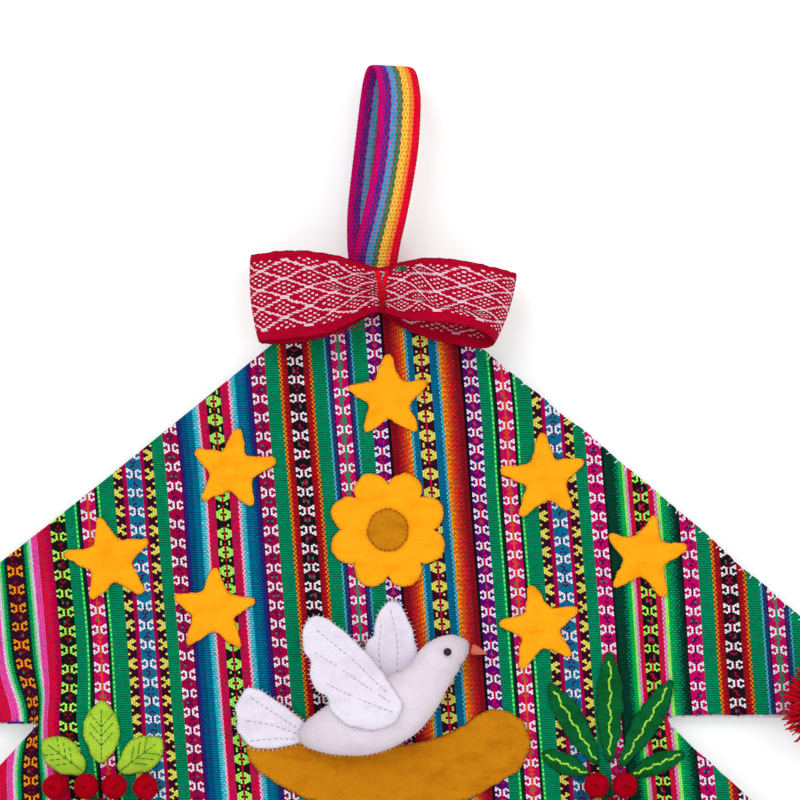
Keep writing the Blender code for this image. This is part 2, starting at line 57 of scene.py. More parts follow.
YARNS = {
    "black": dyed(24, 16, 22), "aubergine": dyed(52, 8, 38), "maroon": dyed(160, 2, 64),
    "dark red": dyed(142, 10, 30), "red": dyed(196, 22, 30), "red orange": dyed(225, 72, 22),
    "orange": dyed(246, 152, 14), "yellow": dyed(232, 220, 92), "lime": dyed(170, 245, 90),
    "pale green": dyed(150, 235, 130), "bright green": dyed(0, 190, 78), "green": dyed(0, 138, 93),
    "pine": dyed(0, 66, 48), "mint": dyed(120, 190, 165), "light blue": dyed(112, 206, 222),
    "turquoise": dyed(20, 178, 200), "teal": dyed(0, 110, 150), "navy": dyed(8, 52, 140),
    "petrol": dyed(0, 82, 128), "plum": dyed(74, 4, 84), "magenta": dyed(198, 0, 96),
    "crimson": dyed(216, 0, 62), "rose": dyed(186, 0, 84), "pink": dyed(240, 76, 168),
    "purple": dyed(92, 0, 112), "lilac": dyed(205, 190, 225), "white": dyed(240, 232, 241),
}

# Each stripe is its width in millimetres, its weave, and its ground, figure and speck yarns. A figure that
# isn't named is of the ground's yarn, and specks that aren't are of the figure's.
GREEN_GROUP = [
    (5.0, "ribbed", "green"), (1.25, "dots", "bright green", "pale green"), (2.0, "ribbed", "pine", "black"),
    (7.5, "lined hooks", "magenta", "white", "red orange"), (1.4, "ribbed", "black", "pine"),
    (1.25, "dots", "bright green", "pale green"), (7.35, "ribbed", "green"),
    (4.4, "half hooks", "aubergine", "yellow"), (2.2, "flecked", "maroon", "rose", "plum"),
    (7.4, "hooks", "teal", "white", "plum"), (1.85, "flecked", "rose", "maroon", "plum"),
    (4.3, "half hooks turned", "aubergine", "yellow"), (5.85, "ribbed", "green"),
]
BLUE_GROUP = [
    (2.5, "ribbed", "plum", "navy"), (3.0, "ribbed", "petrol"), (3.0, "ribbed", "teal"),
    (2.75, "ribbed", "turquoise", "light blue"), (1.0, "chain", "white", "pink"),
    (4.0, "flecked", "crimson", "rose", "pine"), (7.25, "rings", "black", "lime", "crimson"),
    (4.25, "flecked", "rose", "crimson", "pine"), (1.25, "chain", "pink", "white"),
    (2.5, "ribbed", "light blue", "turquoise"), (2.75, "ribbed", "teal"), (2.75, "ribbed", "teal", "petrol"),
    (2.75, "ribbed", "navy", "plum"),
]
BLACK_GROUP = [
    (6.75, "ribbed", "green"), (1.5, "chain", "orange", "dark red"), (3.0, "ribbed", "red", "dark red"),
    (7.75, "hooks", "black", "white", "maroon"), (3.0, "ribbed", "dark red", "red"),
    (1.5, "chain", "dark red", "orange"), (6.5, "ribbed", "green"), (1.0, "chain", "light blue", "teal"),
    (2.5, "ribbed", "petrol", "plum"), (7.5, "lined hooks", "magenta", "white", "green"),
    (2.5, "ribbed", "plum", "petrol"), (1.0, "chain", "teal", "light blue"), (7.0, "ribbed", "green"),
]
SUN_GROUP = [
    (1.5, "ribbed", "black"), (3.0, "ribbed", "dark red"), (2.0, "flecked", "dark red", "red", "pine"),
    (2.5, "flecked", "red", "red orange", "pine"), (2.5, "flecked", "red orange", "orange", "pine"),
    (1.25, "chain", "light blue", "teal"), (2.75, "ribbed", "teal"),
    (7.75, "rings", "aubergine", "yellow", "crimson"), (3.5, "ribbed", "teal"),
    (1.25, "chain", "teal", "light blue"), (3.0, "flecked", "orange", "red orange", "pine"),
    (2.0, "flecked", "red orange", "red", "pine"), (2.5, "flecked", "red", "dark red", "pine"),
    (2.5, "ribbed", "dark red"), (1.5, "ribbed", "black"),
]
MEADOW_GROUP = [
    (2.0, "ribbed", "black", "pine"), (3.0, "ribbed", "pine"), (3.0, "ribbed", "pine", "green"),
    (1.75, "ribbed", "bright green"), (1.25, "chain", "pale green", "lime"), (1.25, "chain", "lilac", "pink"),
    (2.25, "flecked", "crimson", "crimson", "pine"), (7.25, "hooks", "black", "lime", "crimson"),
    (2.75, "flecked", "crimson", "crimson", "pine"), (1.5, "chain", "pink", "lilac"),
    (1.75, "chain", "lime", "pale green"), (3.25, "ribbed", "bright green", "green"),
    (3.0, "ribbed", "green", "pine"), (2.5, "ribbed", "pine", "black"),
]
ROSE_GROUP = [
    (3.25, "flecked", "maroon", "crimson", "plum"), (3.75, "flecked", "crimson", "crimson", "pine"),
    (3.25, "flecked", "pink", "pink", "maroon"), (1.25, "chain", "lilac", "white"),
    (1.0, "chain", "pale green", "mint"), (1.75, "ribbed", "bright green", "green"),
    (1.5, "ribbed", "pine", "black"),
]
TURNED_WEAVES = {"half hooks": "half hooks turned", "half hooks turned": "half hooks"}


def stripe(width, weave, ground, figure=None, speck=None):
    """The whole of a stripe whose last yarns may go unnamed."""
    figure = figure or ground
    return width, weave, ground, figure, speck or figure


def turned(group):
    """The same stripes in mirror order, as the warp was laid."""
    found = []
    for width, weave, ground, figure, speck in (stripe(*row) for row in reversed(group)):
        if weave in ("ribbed", "flecked"):
            ground, figure = figure, ground
        found.append((width, TURNED_WEAVES.get(weave, weave), ground, figure, speck))
    return found


def hooks(ground, width, figure="white", speck="plum", weave="hooks"):
    return [(width, weave, ground, figure, speck)]


LIME_HOOKS = hooks("black", 7.75, "lime", "dark red")
ORANGE_HOOKS = hooks("aubergine", 7.5, "orange", "dark red")
SUN_SPAN = (
    BLACK_GROUP + hooks("purple", 7.5, speck="crimson", weave="close hooks") + SUN_GROUP
    + hooks("purple", 7.0, speck="crimson", weave="close hooks") + GREEN_GROUP
)
CLOTH_STRIPES = (
    BLACK_GROUP + hooks("maroon", 7.25) + BLUE_GROUP + hooks("maroon", 7.5) + turned(GREEN_GROUP)
    + LIME_HOOKS + ROSE_GROUP + ORANGE_HOOKS + turned(ROSE_GROUP) + LIME_HOOKS + GREEN_GROUP
    + hooks("maroon", 7.25) + BLUE_GROUP + hooks("maroon", 7.25) + SUN_SPAN
    + hooks("magenta", 7.5) + MEADOW_GROUP + hooks("magenta", 7.5) + SUN_SPAN
)
END_WIDTH = 1.1
PICK = 1.18 * MM
ENDS = {"hooks": 7, "lined hooks": 7, "close hooks": 7, "rings": 7, "half hooks": 4, "chain": 2, "dots": 1}
PHASES = 8
CLOTH_LEFT = -373.85 * MM

# The warp leans away from upright, wanders a little, and is drawn in by a tuck at the left underside.
LEAN = 0.08
LEAN_LEVEL = 255 * MM
WANDER = 0.6 * MM
WANDERS = (7, 11)
PICK_WANDER = 1.6
PICK_WANDERS = (14, 17)
WEAVE_SEED = 4
TUCK_AT = (-178 * MM, -326.5 * MM)
TUCK_REACH = 18 * MM
TUCK_DRAW = 0.5
PULLS = (
    # where the cloth is drawn sideways: x, z, how far round and by how much
    (57, -172, 30, 1.1), (-98, -205, 30, 1.0), (-150, -277, 30, 0.8), (150, -308, 40, -1.4),
    (-183, -319, 16, 3.2),
)
PANEL_THICK = 1.5 * MM
PANEL_Y = 10.15 * MM
PANEL_ROWS_FROM = 90 * MM
PANEL_ROWS_TO = 531 * MM
PANEL_ROW = 4.5 * MM
TREE_EDGE = (
    (-12, -97), (-6, -97), (48.5, -142.5), (103.5, -187), (131.7, -210.7), (152.4, -228),
    (172.3, -246.3), (203.5, -272.9), (229, -294.5), (237, -303), (238, -313), (228, -321.8),
    (137, -322.8), (138.8, -328), (167.9, -354.7), (298, -470), (304, -478), (296, -485),
    (41, -486), (41, -526), (-58, -527), (-58, -485),
    (-320, -486), (-329, -479), (-323.8, -471), (-196.5, -347.6), (-176.6, -326.2),
    (-262, -325.4), (-273, -317), (-265, -301), (-196.5, -246.3), (-143, -204), (-61, -137.5),
)
EDGE_ROUND = 3 * MM
EDGE_STEP = 0.8 * MM
EDGE_WAVER = 0.5 * MM
EDGE_WAVERS = 90
CREASE = math.radians(50)
OVERCAST_SIDE = ((40 * MM, -296 * MM), (232 * MM, -135 * MM))
OVERCAST_SPACING = 5.4 * MM
NOTCH_DEEP = 0.75 * MM
NOTCH_HALF = 0.6 * MM
NOTCH_WAY = (0.64, 0.77)
NOTCH_TIGHT, NOTCHES_VARY = 0.75, 0.9

# The cloth hangs flat by the bow and in broad waves below it, with soft ripples, and its wings curl forwards.
FLAT_ABOVE, WAVES_FULL_BELOW = 0.115, 0.230
WAVE_DEPTH, WAVE_LENGTH, WAVE_START = 1.7 * MM, 0.390, 0.7
CROSS_WAVE_DEPTH, CROSS_WAVE_LENGTH, CROSS_WAVE_SLANT = 0.8 * MM, 0.330, 2.0
WING_DEPTH, WING_START, WING_REACH = 5.0 * MM, 0.140, 0.190
RIPPLE_DEPTH, RIPPLES = 0.5 * MM, (24, 13)


def smooth_step(low, high, value):
    share = min(1.0, max(0.0, (value - low) / (high - low)))
    return share * share * (3 - 2 * share)


def hang(x, z):
    """How far the cloth lies behind its middle plane."""
    fade = smooth_step(FLAT_ABOVE, WAVES_FULL_BELOW, -z)
    wave = WAVE_DEPTH * math.sin(math.tau * x / WAVE_LENGTH + WAVE_START)
    cross = CROSS_WAVE_DEPTH * math.sin(math.tau * z / CROSS_WAVE_LENGTH + CROSS_WAVE_SLANT * x / WAVE_LENGTH)
    wing = max(0.0, (abs(x) - WING_START) / WING_REACH)
    ripple = RIPPLE_DEPTH * noise.noise((x * RIPPLES[0], z * RIPPLES[1], 4.0))
    return fade * (wave + cross + ripple) - WING_DEPTH * wing * wing


def in_metres(points):
    return [tuple(value * MM for value in point) for point in points]


def rounded_outline(points, radius, step):
    """The closed outline with its corners rounded, as points that lie a step apart."""
    curve = []
    for index, corner in enumerate(points):
        corner = Vector(corner)
        before, after = Vector(points[index - 1]) - corner, Vector(points[(index + 1) % len(points)]) - corner
        start = corner + before.normalized() * min(radius, before.length * 0.45)
        end = corner + after.normalized() * min(radius, after.length * 0.45)
        for share in (0, 0.25, 0.5, 0.75, 1):
            curve.append(start.lerp(corner, share).lerp(corner.lerp(end, share), share))
    lengths = [0.0]
    for index, point in enumerate(curve):
        lengths.append(lengths[-1] + (curve[(index + 1) % len(curve)] - point).length)
    count = max(8, round(lengths[-1] / step))
    found = []
    span = 0
    for number in range(count):
        place = lengths[-1] * number / count
        while lengths[span + 1] <= place:
            span += 1
        share = (place - lengths[span]) / (lengths[span + 1] - lengths[span])
        found.append(tuple(curve[span].lerp(curve[(span + 1) % len(curve)], share)))
    return found


def as_mesh(helper):
    """The helper's mesh with its modifiers, as a plain mesh of its own. The helper goes."""
    bpy.context.view_layer.update()
    mesh = bpy.data.meshes.new_from_object(helper.evaluated_get(bpy.context.evaluated_depsgraph_get()))
    bpy.data.objects.remove(helper)
    return mesh


def mesh_from(build, name, outward=False, smooth=True):
    """What was built, as a plain mesh."""
    if outward:
        bmesh.ops.recalc_face_normals(build, faces=build.faces)
    mesh = bpy.data.meshes.new(name)
    build.to_mesh(mesh)
    build.free()
    if smooth:
        mesh.shade_smooth()
    return mesh


def add_object(name, data):
    made = bpy.data.objects.new(name, data)
    bpy.context.scene.collection.objects.link(made)
    return made


def put_on(name, mesh, replaced=(), finish=None):
    """A finished piece: it rides on the hanging's one body and stands for the solids that it replaces."""
    if finish:
        mesh.materials.clear()
        mesh.materials.append(finish)
    piece = add_object(name, mesh)
    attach(piece, "root")
    if replaced:
        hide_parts(*replaced)
    return piece


def skin(build, rows, ringed=False, turned_over=False, mark=None):
    """Faces between rows of points, ringed if these close. Mark is told each loop with its row and place."""
    for row, (here, there) in enumerate(zip(rows, rows[1:])):
        for place in range(len(here) if ringed else len(here) - 1):
            after = (place + 1) % len(here)
            corners = (here[place], here[after], there[after], there[place])
            counts = ((row, place), (row, place + 1), (row + 1, place + 1), (row + 1, place))
            face = build.faces.new(corners[::-1] if turned_over else corners)
            if mark:
                for loop, count in zip(face.loops, counts[::-1] if turned_over else counts):
                    mark(loop, *count)


WELD = 0.01 * MM
BLOCK_HALF = 4
RIM_TURNS = 0.5


def cut_out(cloth, edge, thick, middle):
    """The flat cloth mesh made thick, cut to the edge, with its stripes carried over the rim, and hung up."""
    slab = add_object("flat_cloth", cloth)
    block_curve = bpy.data.curves.new("pattern_block", "CURVE")
    block_curve.dimensions = "2D"
    block_curve.fill_mode = "BOTH"
    block_curve.extrude = BLOCK_HALF * thick
    line = block_curve.splines.new("POLY")
    line.points.add(len(edge) - 1)
    for point, (x, z) in zip(line.points, edge):
        point.co = (x, z, 0, 1)
    line.use_cyclic_u = True
    block_mesh = as_mesh(add_object("pattern_block", block_curve))
    build = bmesh.new()
    build.from_mesh(block_mesh)
    bmesh.ops.remove_doubles(build, verts=build.verts, dist=WELD)
    bmesh.ops.transform(build, matrix=Matrix.Rotation(math.pi / 2, 4, "X"), verts=build.verts)
    block = add_object("pattern_block", mesh_from(build, "pattern_block", outward=True, smooth=False))
    body = slab.modifiers.new("thickness", "SOLIDIFY")
    body.thickness = thick
    body.offset = 0
    cut = slab.modifiers.new("cut", "BOOLEAN")
    cut.operation = "INTERSECT"
    cut.object = block
    mesh = as_mesh(slab)
    bpy.data.objects.remove(block)

    build = bmesh.new()
    build.from_mesh(mesh)
    build.normal_update()
    layers = list(build.loops.layers.uv.values()) + list(build.loops.layers.float_color.values())
    for face in build.faces:
        if abs(face.normal.y) > RIM_TURNS:
            continue
        linked = [other for side in face.edges for other in side.link_faces]
        beside = [other for other in linked if abs(other.normal.y) > RIM_TURNS]
        if not beside:
            continue
        face.material_index = beside[0].material_index
        for loop in face.loops:
            near = [other for other in loop.vert.link_loops if other.face in beside] or beside[0].loops
            for layer in layers:
                loop[layer] = near[0][layer].copy() if hasattr(near[0][layer], "copy") else near[0][layer]
    build.to_mesh(mesh)
    build.free()
    for vertex in mesh.vertices:
        vertex.co.y += middle + hang(vertex.co.x, vertex.co.z)
    mesh.shade_smooth()
    mesh.set_sharp_from_angle(angle=CREASE)
    return mesh


def cloth_place(across, down):
    """Where a point of the flat cloth hangs, as (x, z)."""
    wander = WANDER * noise.noise((across * WANDERS[0], down * WANDERS[1], 0.5))
    x = across + LEAN * (down - LEAN_LEVEL) + wander
    for pull_x, pull_z, far, by in in_metres(PULLS):
        x += by * math.exp(-((x - pull_x) ** 2 + (down + pull_z) ** 2) / far ** 2)
    from_tuck = (x - TUCK_AT[0], -down - TUCK_AT[1])
    pull = TUCK_DRAW * math.exp(-(from_tuck[0] ** 2 + from_tuck[1] ** 2) / TUCK_REACH ** 2)
    return x - from_tuck[0] * pull, -down


YARN_PARTS = ("ground", "figure", "speck")


def weave_cloth(finishes):
    """The uncut striped cloth, one column of faces to a stripe, with its yarns and places written on it."""
    weaves = list(finishes)
    build = bmesh.new()
    cloth_map = build.loops.layers.uv.new("cloth")
    stripe_map = build.loops.layers.uv.new("stripe")
    yarn_layers = [build.loops.layers.float_color.new(f"{part} yarn") for part in YARN_PARTS]
    rows = round((PANEL_ROWS_TO - PANEL_ROWS_FROM) / PANEL_ROW)
    downs = [PANEL_ROWS_FROM + PANEL_ROW * row for row in range(rows + 1)]
    phases = random.Random(WEAVE_SEED)

    def column(across):
        places = (cloth_place(across, down) for down in downs)
        return [build.verts.new((x, 0, z)) for x, z in places]

    across = CLOTH_LEFT
    left = column(across)
    first_end = 1
    for width, weave, *yarns in (stripe(*row) for row in CLOTH_STRIPES):
        beyond = across + width * MM
        right = column(beyond)
        shares = (1, 0) if weave.endswith("turned") else (0, 1)
        weave = weave.removesuffix(" turned")
        ends = ENDS.get(weave, max(1, round(width / END_WIDTH)))
        phase = phases.randrange(PHASES)

        def count(loop, side, row):
            loop.face.material_index = weaves.index(weave)
            at = ((across, beyond)[side] * PICK_WANDERS[0], downs[row] * PICK_WANDERS[1], 2.5)
            slack = PICK_WANDER * noise.noise(at)
            loop[cloth_map].uv = (first_end + shares[side] * ends, downs[row] / PICK + phase + slack)
            loop[stripe_map].uv = (shares[side], 0)
            for layer, yarn in zip(yarn_layers, yarns):
                loop[layer] = YARNS[yarn]

        skin(build, (left, right), mark=count)
        across, left = beyond, right
        first_end += ends + ends % 2
    mesh = mesh_from(build, "flat_cloth", smooth=False)
    for weave in weaves:
        mesh.materials.append(finishes[weave])
    return mesh


class Value:
    """What a node gives. Sums with it are written as usual, and add the nodes that work them out."""

    def __init__(self, socket):
        self.socket, self.tree = socket, socket.id_data

    def __rsub__(self, other):
        return maths("SUBTRACT", other, self)


for sign, operation in (
    ("add", "ADD"), ("sub", "SUBTRACT"), ("mul", "MULTIPLY"), ("truediv", "DIVIDE"), ("pow", "POWER"),
    ("mod", "FLOORED_MODULO"), ("gt", "GREATER_THAN"), ("lt", "LESS_THAN"), ("abs", "ABSOLUTE"),
    ("floor", "FLOOR"), ("round", "ROUND"),
):
    setattr(Value, f"__{sign}__", lambda *values, operation=operation: maths(operation, *values))


def add(tree, kind, inputs=None, out=0, **settings):
    """Adds a node, sets it up, fills or joins its inputs by name or number, and gives one of its outputs."""
    made = tree.nodes.new(kind)
    for name, value in settings.items():
        setattr(made, name, value)
    for name, value in (inputs or {}).items():
        if isinstance(value, Value):
            tree.links.new(value.socket, made.inputs[name])
        else:
            made.inputs[name].default_value = value
    return Value(made.outputs[out])


def tree_of(values):
    return next(value.tree for value in values if isinstance(value, Value))


def maths(operation, *values):
    return add(tree_of(values), "ShaderNodeMath", dict(enumerate(values)), operation=operation)


def humps(value):
    """Rises and falls once between each whole number and the next."""
    return abs(maths("SINE", value * math.pi))


def split(value):
    """The three parts of a vector or colour."""
    return [Value(part) for part in add(value.tree, "ShaderNodeSeparateXYZ", {0: value}).socket.node.outputs]


def joined(*parts):
    return add(tree_of(parts), "ShaderNodeCombineXYZ", dict(enumerate(parts)))


def mixed(share, first, second, blend="MIX"):
    """Two colours mixed by a share."""
    inputs = {0: share, 6: first, 7: second}
    tree = tree_of(inputs.values())
    return add(tree, "ShaderNodeMix", inputs, out=2, data_type="RGBA", blend_type=blend)


def ranged(value, low, high, to_low=0.0, to_high=1.0):
    inputs = {"Value": value, "From Min": low, "From Max": high, "To Min": to_low, "To Max": to_high}
    return add(value.tree, "ShaderNodeMapRange", inputs)


def in_steps(share, steps):
    """The colour of the last step (start, colour) that the share has reached."""
    colour = add(share.tree, "ShaderNodeValToRGB", {0: share})
    ramp = colour.socket.node.color_ramp
    ramp.interpolation = "CONSTANT"
    ramp.elements.remove(ramp.elements[1])
    ramp.elements[0].color = steps[0][1]
    for start, dye in steps[1:]:
        ramp.elements.new(start).color = dye
    return colour


def by_chance(*place):
    """A random number for each place, counted in one to three ways."""
    inputs = {"W": place[0]} if len(place) == 1 else {"Vector": joined(*place)}
    return add(tree_of(place), "ShaderNodeTexWhiteNoise", inputs, noise_dimensions=f"{len(place)}D")


def cloudy(at, scale, detail=2.0, distortion=0.0, out=0):
    inputs = {"Vector": at, "Scale": scale, "Detail": detail, "Distortion": distortion}
    return add(at.tree, "ShaderNodeTexNoise", inputs, out)


def mapped(tree, name):
    return add(tree, "ShaderNodeUVMap", uv_map=name)


def effect(name, **takes):
    """A new shader group. It takes vectors where no default is given, and numbers where one is."""
    group = bpy.data.node_groups.new(name, "ShaderNodeTree")
    for label, default in takes.items():
        kind = "NodeSocketVector" if default is None else "NodeSocketFloat"
        socket = group.interface.new_socket(label, in_out="INPUT", socket_type=kind)
        if default is not None:
            socket.default_value = default
    return group, [Value(socket) for socket in group.nodes.new("NodeGroupInput").outputs if socket.name]


def give(group, **results):
    """What a shader group gives, by name."""
    for label in results:
        group.interface.new_socket(label, in_out="OUTPUT", socket_type="NodeSocketFloat")
    leave = group.nodes.new("NodeGroupOutput")
    for label, value in results.items():
        group.links.new(value.socket, leave.inputs[label])
    return group


def use(tree, group, **inputs):
    """Places a shader group in a material and returns its outputs by name."""
    outputs = add(tree, "ShaderNodeGroup", inputs, node_tree=group).socket.node.outputs
    return {socket.name: Value(socket) for socket in outputs}


STAGGER = 0.5
ROUNDNESS = 0.7
RIB_FLANK, BEAD_FLANK = 0.2, 0.65
GAP_STARTS = 0.08
BEAD_LIGHT = 1.06
END_SHADES = (0.84, 1.1)
BROAD_CLOUDS, BROAD_SHADES = 0.05, (0.92, 1.06)
MIDDLE_OF_NOISE = (0.3, 0.7)


def bead_effect():
    """Warp ends over weft picks: how high the yarn stands, where the gaps between its beads are, and the
    painted shade in those gaps.

    Cloth counts ends and picks, Bead runs from ribs straight across to beads that stand staggered.
    """
    group, (cloth, bead, depth, narrow) = effect("woven beads", Cloth=None, Bead=1.0, Depth=0.5, Narrow=0.5)
    ends, picks, _ = split(cloth)
    end = math.floor(ends)
    picks = picks + end % 2 * (bead * STAGGER)
    flank = (1.0 - humps(ends) ** ROUNDNESS) * (bead * BEAD_FLANK + RIB_FLANK)
    height = humps(picks) ** ROUNDNESS * (1.0 - flank)
    gap = ranged(height, GAP_STARTS, narrow, 1.0, 0.0)
    # Painted shade darkens the gaps between beads and ribs by the depth given; each bead's own tone and the
    # broad clouds vary at random.
    shade = BEAD_LIGHT - gap * depth
    shade = shade * ranged(by_chance(end, math.floor(picks)), 0, 1, *END_SHADES)
    shade = shade * ranged(cloudy(cloth, BROAD_CLOUDS, 3.0), *MIDDLE_OF_NOISE, *BROAD_SHADES)
    return give(group, Height=height, Gap=gap, Shade=shade)


# The draft of each patterned stripe, as the weaver charts it. Each word is one warp end, counted from the
# centre line out, and is read bead by bead from the middle of a figure to the middle of the ground: # is the
# figure yarn, o the speck yarn and . the ground, +, q and y are figure, speck and a green fleck in beads that
# are left out now and then, and * is figure or fleck by chance. Every other end starts half a bead later.
# The number is how many picks half a repeat takes. The half hooks are mirrored in their picks alone.
CHARTS = {
    "hooks": (4.0, ("qq.q*", "##.qy", ".#...", ".#+..")),
    "lined hooks": (4.0, ("ooooo", "##.qy", ".#...", ".#+..")),
    "close hooks": (3.5, ("oqqyy", "##.q.", ".#...", ".#+..")),
    "rings": (4.0, ("oyoqo", ".##..", "##.+.", "##...")),
    "half hooks": (4.0, ("##..#", "#+...", ".##..", ".#...")),
}
CHART_BEADS = 5
OFTEN = 0.6
SELDOM = 0.4
CELL_COLOURS = {
    ".": (0, 0, 0, 1), "#": (1, 0, 0, 1), "o": (0, 1, 0, 1),
    "+": (OFTEN, 0, 0, 1), "q": (0, OFTEN, 0, 1), "y": (0, 0, SELDOM, 1), "*": (OFTEN, 0, SELDOM, 1),
}
SLIGHTLY = 0.01


def chart_effect(name, half_repeat, words):
    """The charted pattern, read bead by bead from one long row of steps."""
    group, (cloth, share) = effect(name, Cloth=None, Share=0.5)
    ends, picks, _ = split(cloth)
    end = math.floor(share * (ENDS[name] - SLIGHTLY))
    if ENDS[name] > len(words):
        end = abs(end - (len(words) - 1))
        late = end % 2
    else:
        late = (end + 1) % 2
    pick = math.floor(picks + late * STAGGER)
    bead = math.floor(maths("PINGPONG", pick + (0.5 - late * STAGGER), half_repeat) + SLIGHTLY)
    cells = "".join(words)
    starts = [index for index in range(len(cells)) if not index or cells[index] != cells[index - 1]]
    steps = [(index / len(cells), CELL_COLOURS[cells[index]]) for index in starts]
    yarns = split(in_steps((end * CHART_BEADS + bead + 0.5) / len(cells), steps))
    chance = by_chance(math.floor(ends), pick)
    figure, speck, fleck = (yarn > chance for yarn in yarns)
    return give(group, Figure=figure, Speck=speck, Fleck=fleck)


SPECK_RISES = (0.55, 0.75)
SPECK_SHOWS = 0.75
FEATHERED = (0.5, 0.3, -0.4)


def plain_effect(name, corner_specks):
    """A plain stripe. Where one yarn runs into the next, single beads of both alternate in the middle."""
    group, (cloth, share) = effect(name, Cloth=None, Share=0.5)
    ends, picks, _ = split(cloth)
    end = math.floor(ends)
    picks = picks + end % 2 * (STAGGER * corner_specks)
    pick = math.floor(picks)
    lean = (end + pick) % 2 * FEATHERED[0] + (by_chance(end, pick, 3.0) * FEATHERED[1] + FEATHERED[2])
    figure = share + lean > 0.5
    across, along = (abs(maths("COSINE", count * math.pi)) for count in (ends, picks))
    speck = ranged(across * along, *SPECK_RISES) * (SPECK_SHOWS * corner_specks)
    return give(group, Figure=figure, Speck=speck, Fleck=figure * 0)


DOT_NARROWS = (0.22, 0.36)


def bead_row_effect(name):
    """Ends that change places at every pick, as a zigzag of beads in a chain or bright dots up one end."""
    group, (cloth, share) = effect(name, Cloth=None, Share=0.5)
    side = math.floor(share * (ENDS[name] - SLIGHTLY))
    figure = (side + math.floor(split(cloth)[1] + 0.5)) % 2
    if ENDS[name] == 1:
        figure = figure * ranged(abs(share - 0.5), *DOT_NARROWS, 1.0, 0.0)
    return give(group, Figure=figure, Speck=figure * 0, Fleck=figure * 0)


def new_finish(name, roughness, shine=0.3, sheen=0.0):
    """A new material and its node tree."""
    material = bpy.data.materials.new(name)
    material.use_nodes = True
    inputs = material.node_tree.nodes["Principled BSDF"].inputs
    inputs["Roughness"].default_value = roughness
    inputs["Specular IOR Level"].default_value = shine
    inputs["Sheen Weight"].default_value = sheen
    return material, material.node_tree


def dress(material, colour, shade=None, height=None, raised=None):
    """Joins to the surface the colour, darkened or lightened by a shade, and the height that is raised."""
    tree = material.node_tree
    inputs = tree.nodes["Principled BSDF"].inputs
    if shade is not None:
        lit = add(tree, "ShaderNodeCombineColor", {0: shade, 1: shade, 2: shade})
        colour = mixed(1.0, colour, lit, "MULTIPLY")
    tree.links.new(colour.socket, inputs["Base Color"])
    if height is not None:
        bump = add(tree, "ShaderNodeBump", {"Height": height, "Distance": raised})
        tree.links.new(bump.socket, inputs["Normal"])
    return material


woven_beads = bead_effect()
WEAVES = {"ribbed": plain_effect("ribbed", 0), "flecked": plain_effect("flecked", 1)}
WEAVES.update({name: bead_row_effect(name) for name in ("chain", "dots")})
WEAVES.update({name: chart_effect(name, *chart) for name, chart in CHARTS.items()})
RIBS = {"Bead": 0.0, "Depth": 0.78, "Narrow": 1.0}
BEADS = {"Bead": 1.0, "Depth": 0.2, "Narrow": 0.5}
GAP_PAINTED_SHADE = 0.42
GAP_SHOWS = 0.75
FIGURE_STANDS = 0.35
CLOTH_RELIEF = 0.25 * MM
FLECK_YARN = dyed(20, 128, 92)


def cloth_finish(weave, picks):
    material, tree = new_finish(f"cloth_{weave.replace(' ', '_')}", 0.95, 0.06)
    cloth, share = mapped(tree, "cloth"), split(mapped(tree, "stripe"))[0]
    ground, figure, speck = (
        add(tree, "ShaderNodeAttribute", out="Color", attribute_name=f"{part} yarn") for part in YARN_PARTS
    )
    beads = use(tree, woven_beads, Cloth=cloth, **(RIBS if weave == "ribbed" else BEADS))
    picked = use(tree, picks, Cloth=cloth, Share=share)
    colour = mixed(picked["Figure"], ground, figure)
    colour = mixed(picked["Speck"], colour, speck)
    colour = mixed(picked["Fleck"], colour, FLECK_YARN)
    if weave != "ribbed":
        # The ground yarn shows in the gaps between beads, darkened there by painted shade.
        shaded_ground = mixed(1.0, ground, (GAP_PAINTED_SHADE, GAP_PAINTED_SHADE, GAP_PAINTED_SHADE, 1), "MULTIPLY")
        colour = mixed(beads["Gap"] * GAP_SHOWS, colour, shaded_ground)
    height = picked["Figure"] * FIGURE_STANDS + beads["Height"]
    return dress(material, colour, beads["Shade"], height, CLOTH_RELIEF)


wavering_outline = []
for x, z in rounded_outline(in_metres(TREE_EDGE), EDGE_ROUND, EDGE_STEP):
    waver = EDGE_WAVER * noise.noise((x * EDGE_WAVERS, z * EDGE_WAVERS, 7.0))
    wavering_outline.append((x + waver, z + waver))


def along_outline(outline, low, high):
    """The part of an outline that lies in a box between two corners (x, z)."""
    return [(x, z) for x, z in outline if low[0] <= x <= high[0] and low[1] <= z <= high[1]]


# The white overcasting draws the right slanted edge into a small notch at every stitch.
right_side = along_outline(wavering_outline, *OVERCAST_SIDE)
walked = [0.0]
for here, there in zip(right_side, right_side[1:]):
    walked.append(walked[-1] + math.dist(here, there))
between = walked[-1] / int(walked[-1] / OVERCAST_SPACING)
for (x, z), far in zip(right_side, walked):
    nearest = round(far / between)
    from_stitch = (far / between - nearest) * between
    tight = NOTCH_TIGHT + noise.noise((nearest * NOTCHES_VARY, 3.0, 8.0))
    notch = NOTCH_DEEP * tight * math.exp(-(from_stitch / NOTCH_HALF) ** 2)
    wavering_outline[wavering_outline.index((x, z))] = (x - notch * NOTCH_WAY[0], z - notch * NOTCH_WAY[1])
finishes = {weave: cloth_finish(weave, picks) for weave, picks in WEAVES.items()}
panel_mesh = cut_out(weave_cloth(finishes), wavering_outline, PANEL_THICK, PANEL_Y)
panel = put_on("striped_tree", panel_mesh, ["panel"])

# The white lining behind it: plain cotton, cut a little lower than the tree, so that it shows as a pale line
# under the right-hand side.
BACKING_Y = 11.7 * MM
BACKING_THICK = 1.0 * MM
BACKING_CELL = 10 * MM
BACKING_CORNERS = ((-0.335, -0.535), (0.315, -0.09))
BACKING_DROPS = (1.0 * MM, 2.0 * MM)
BACKING_DROPS_FROM = 0.1
BACKING_NARROWER = 0.994
BACKING_THREAD = 0.7
BACKING_RELIEF = 0.12 * MM


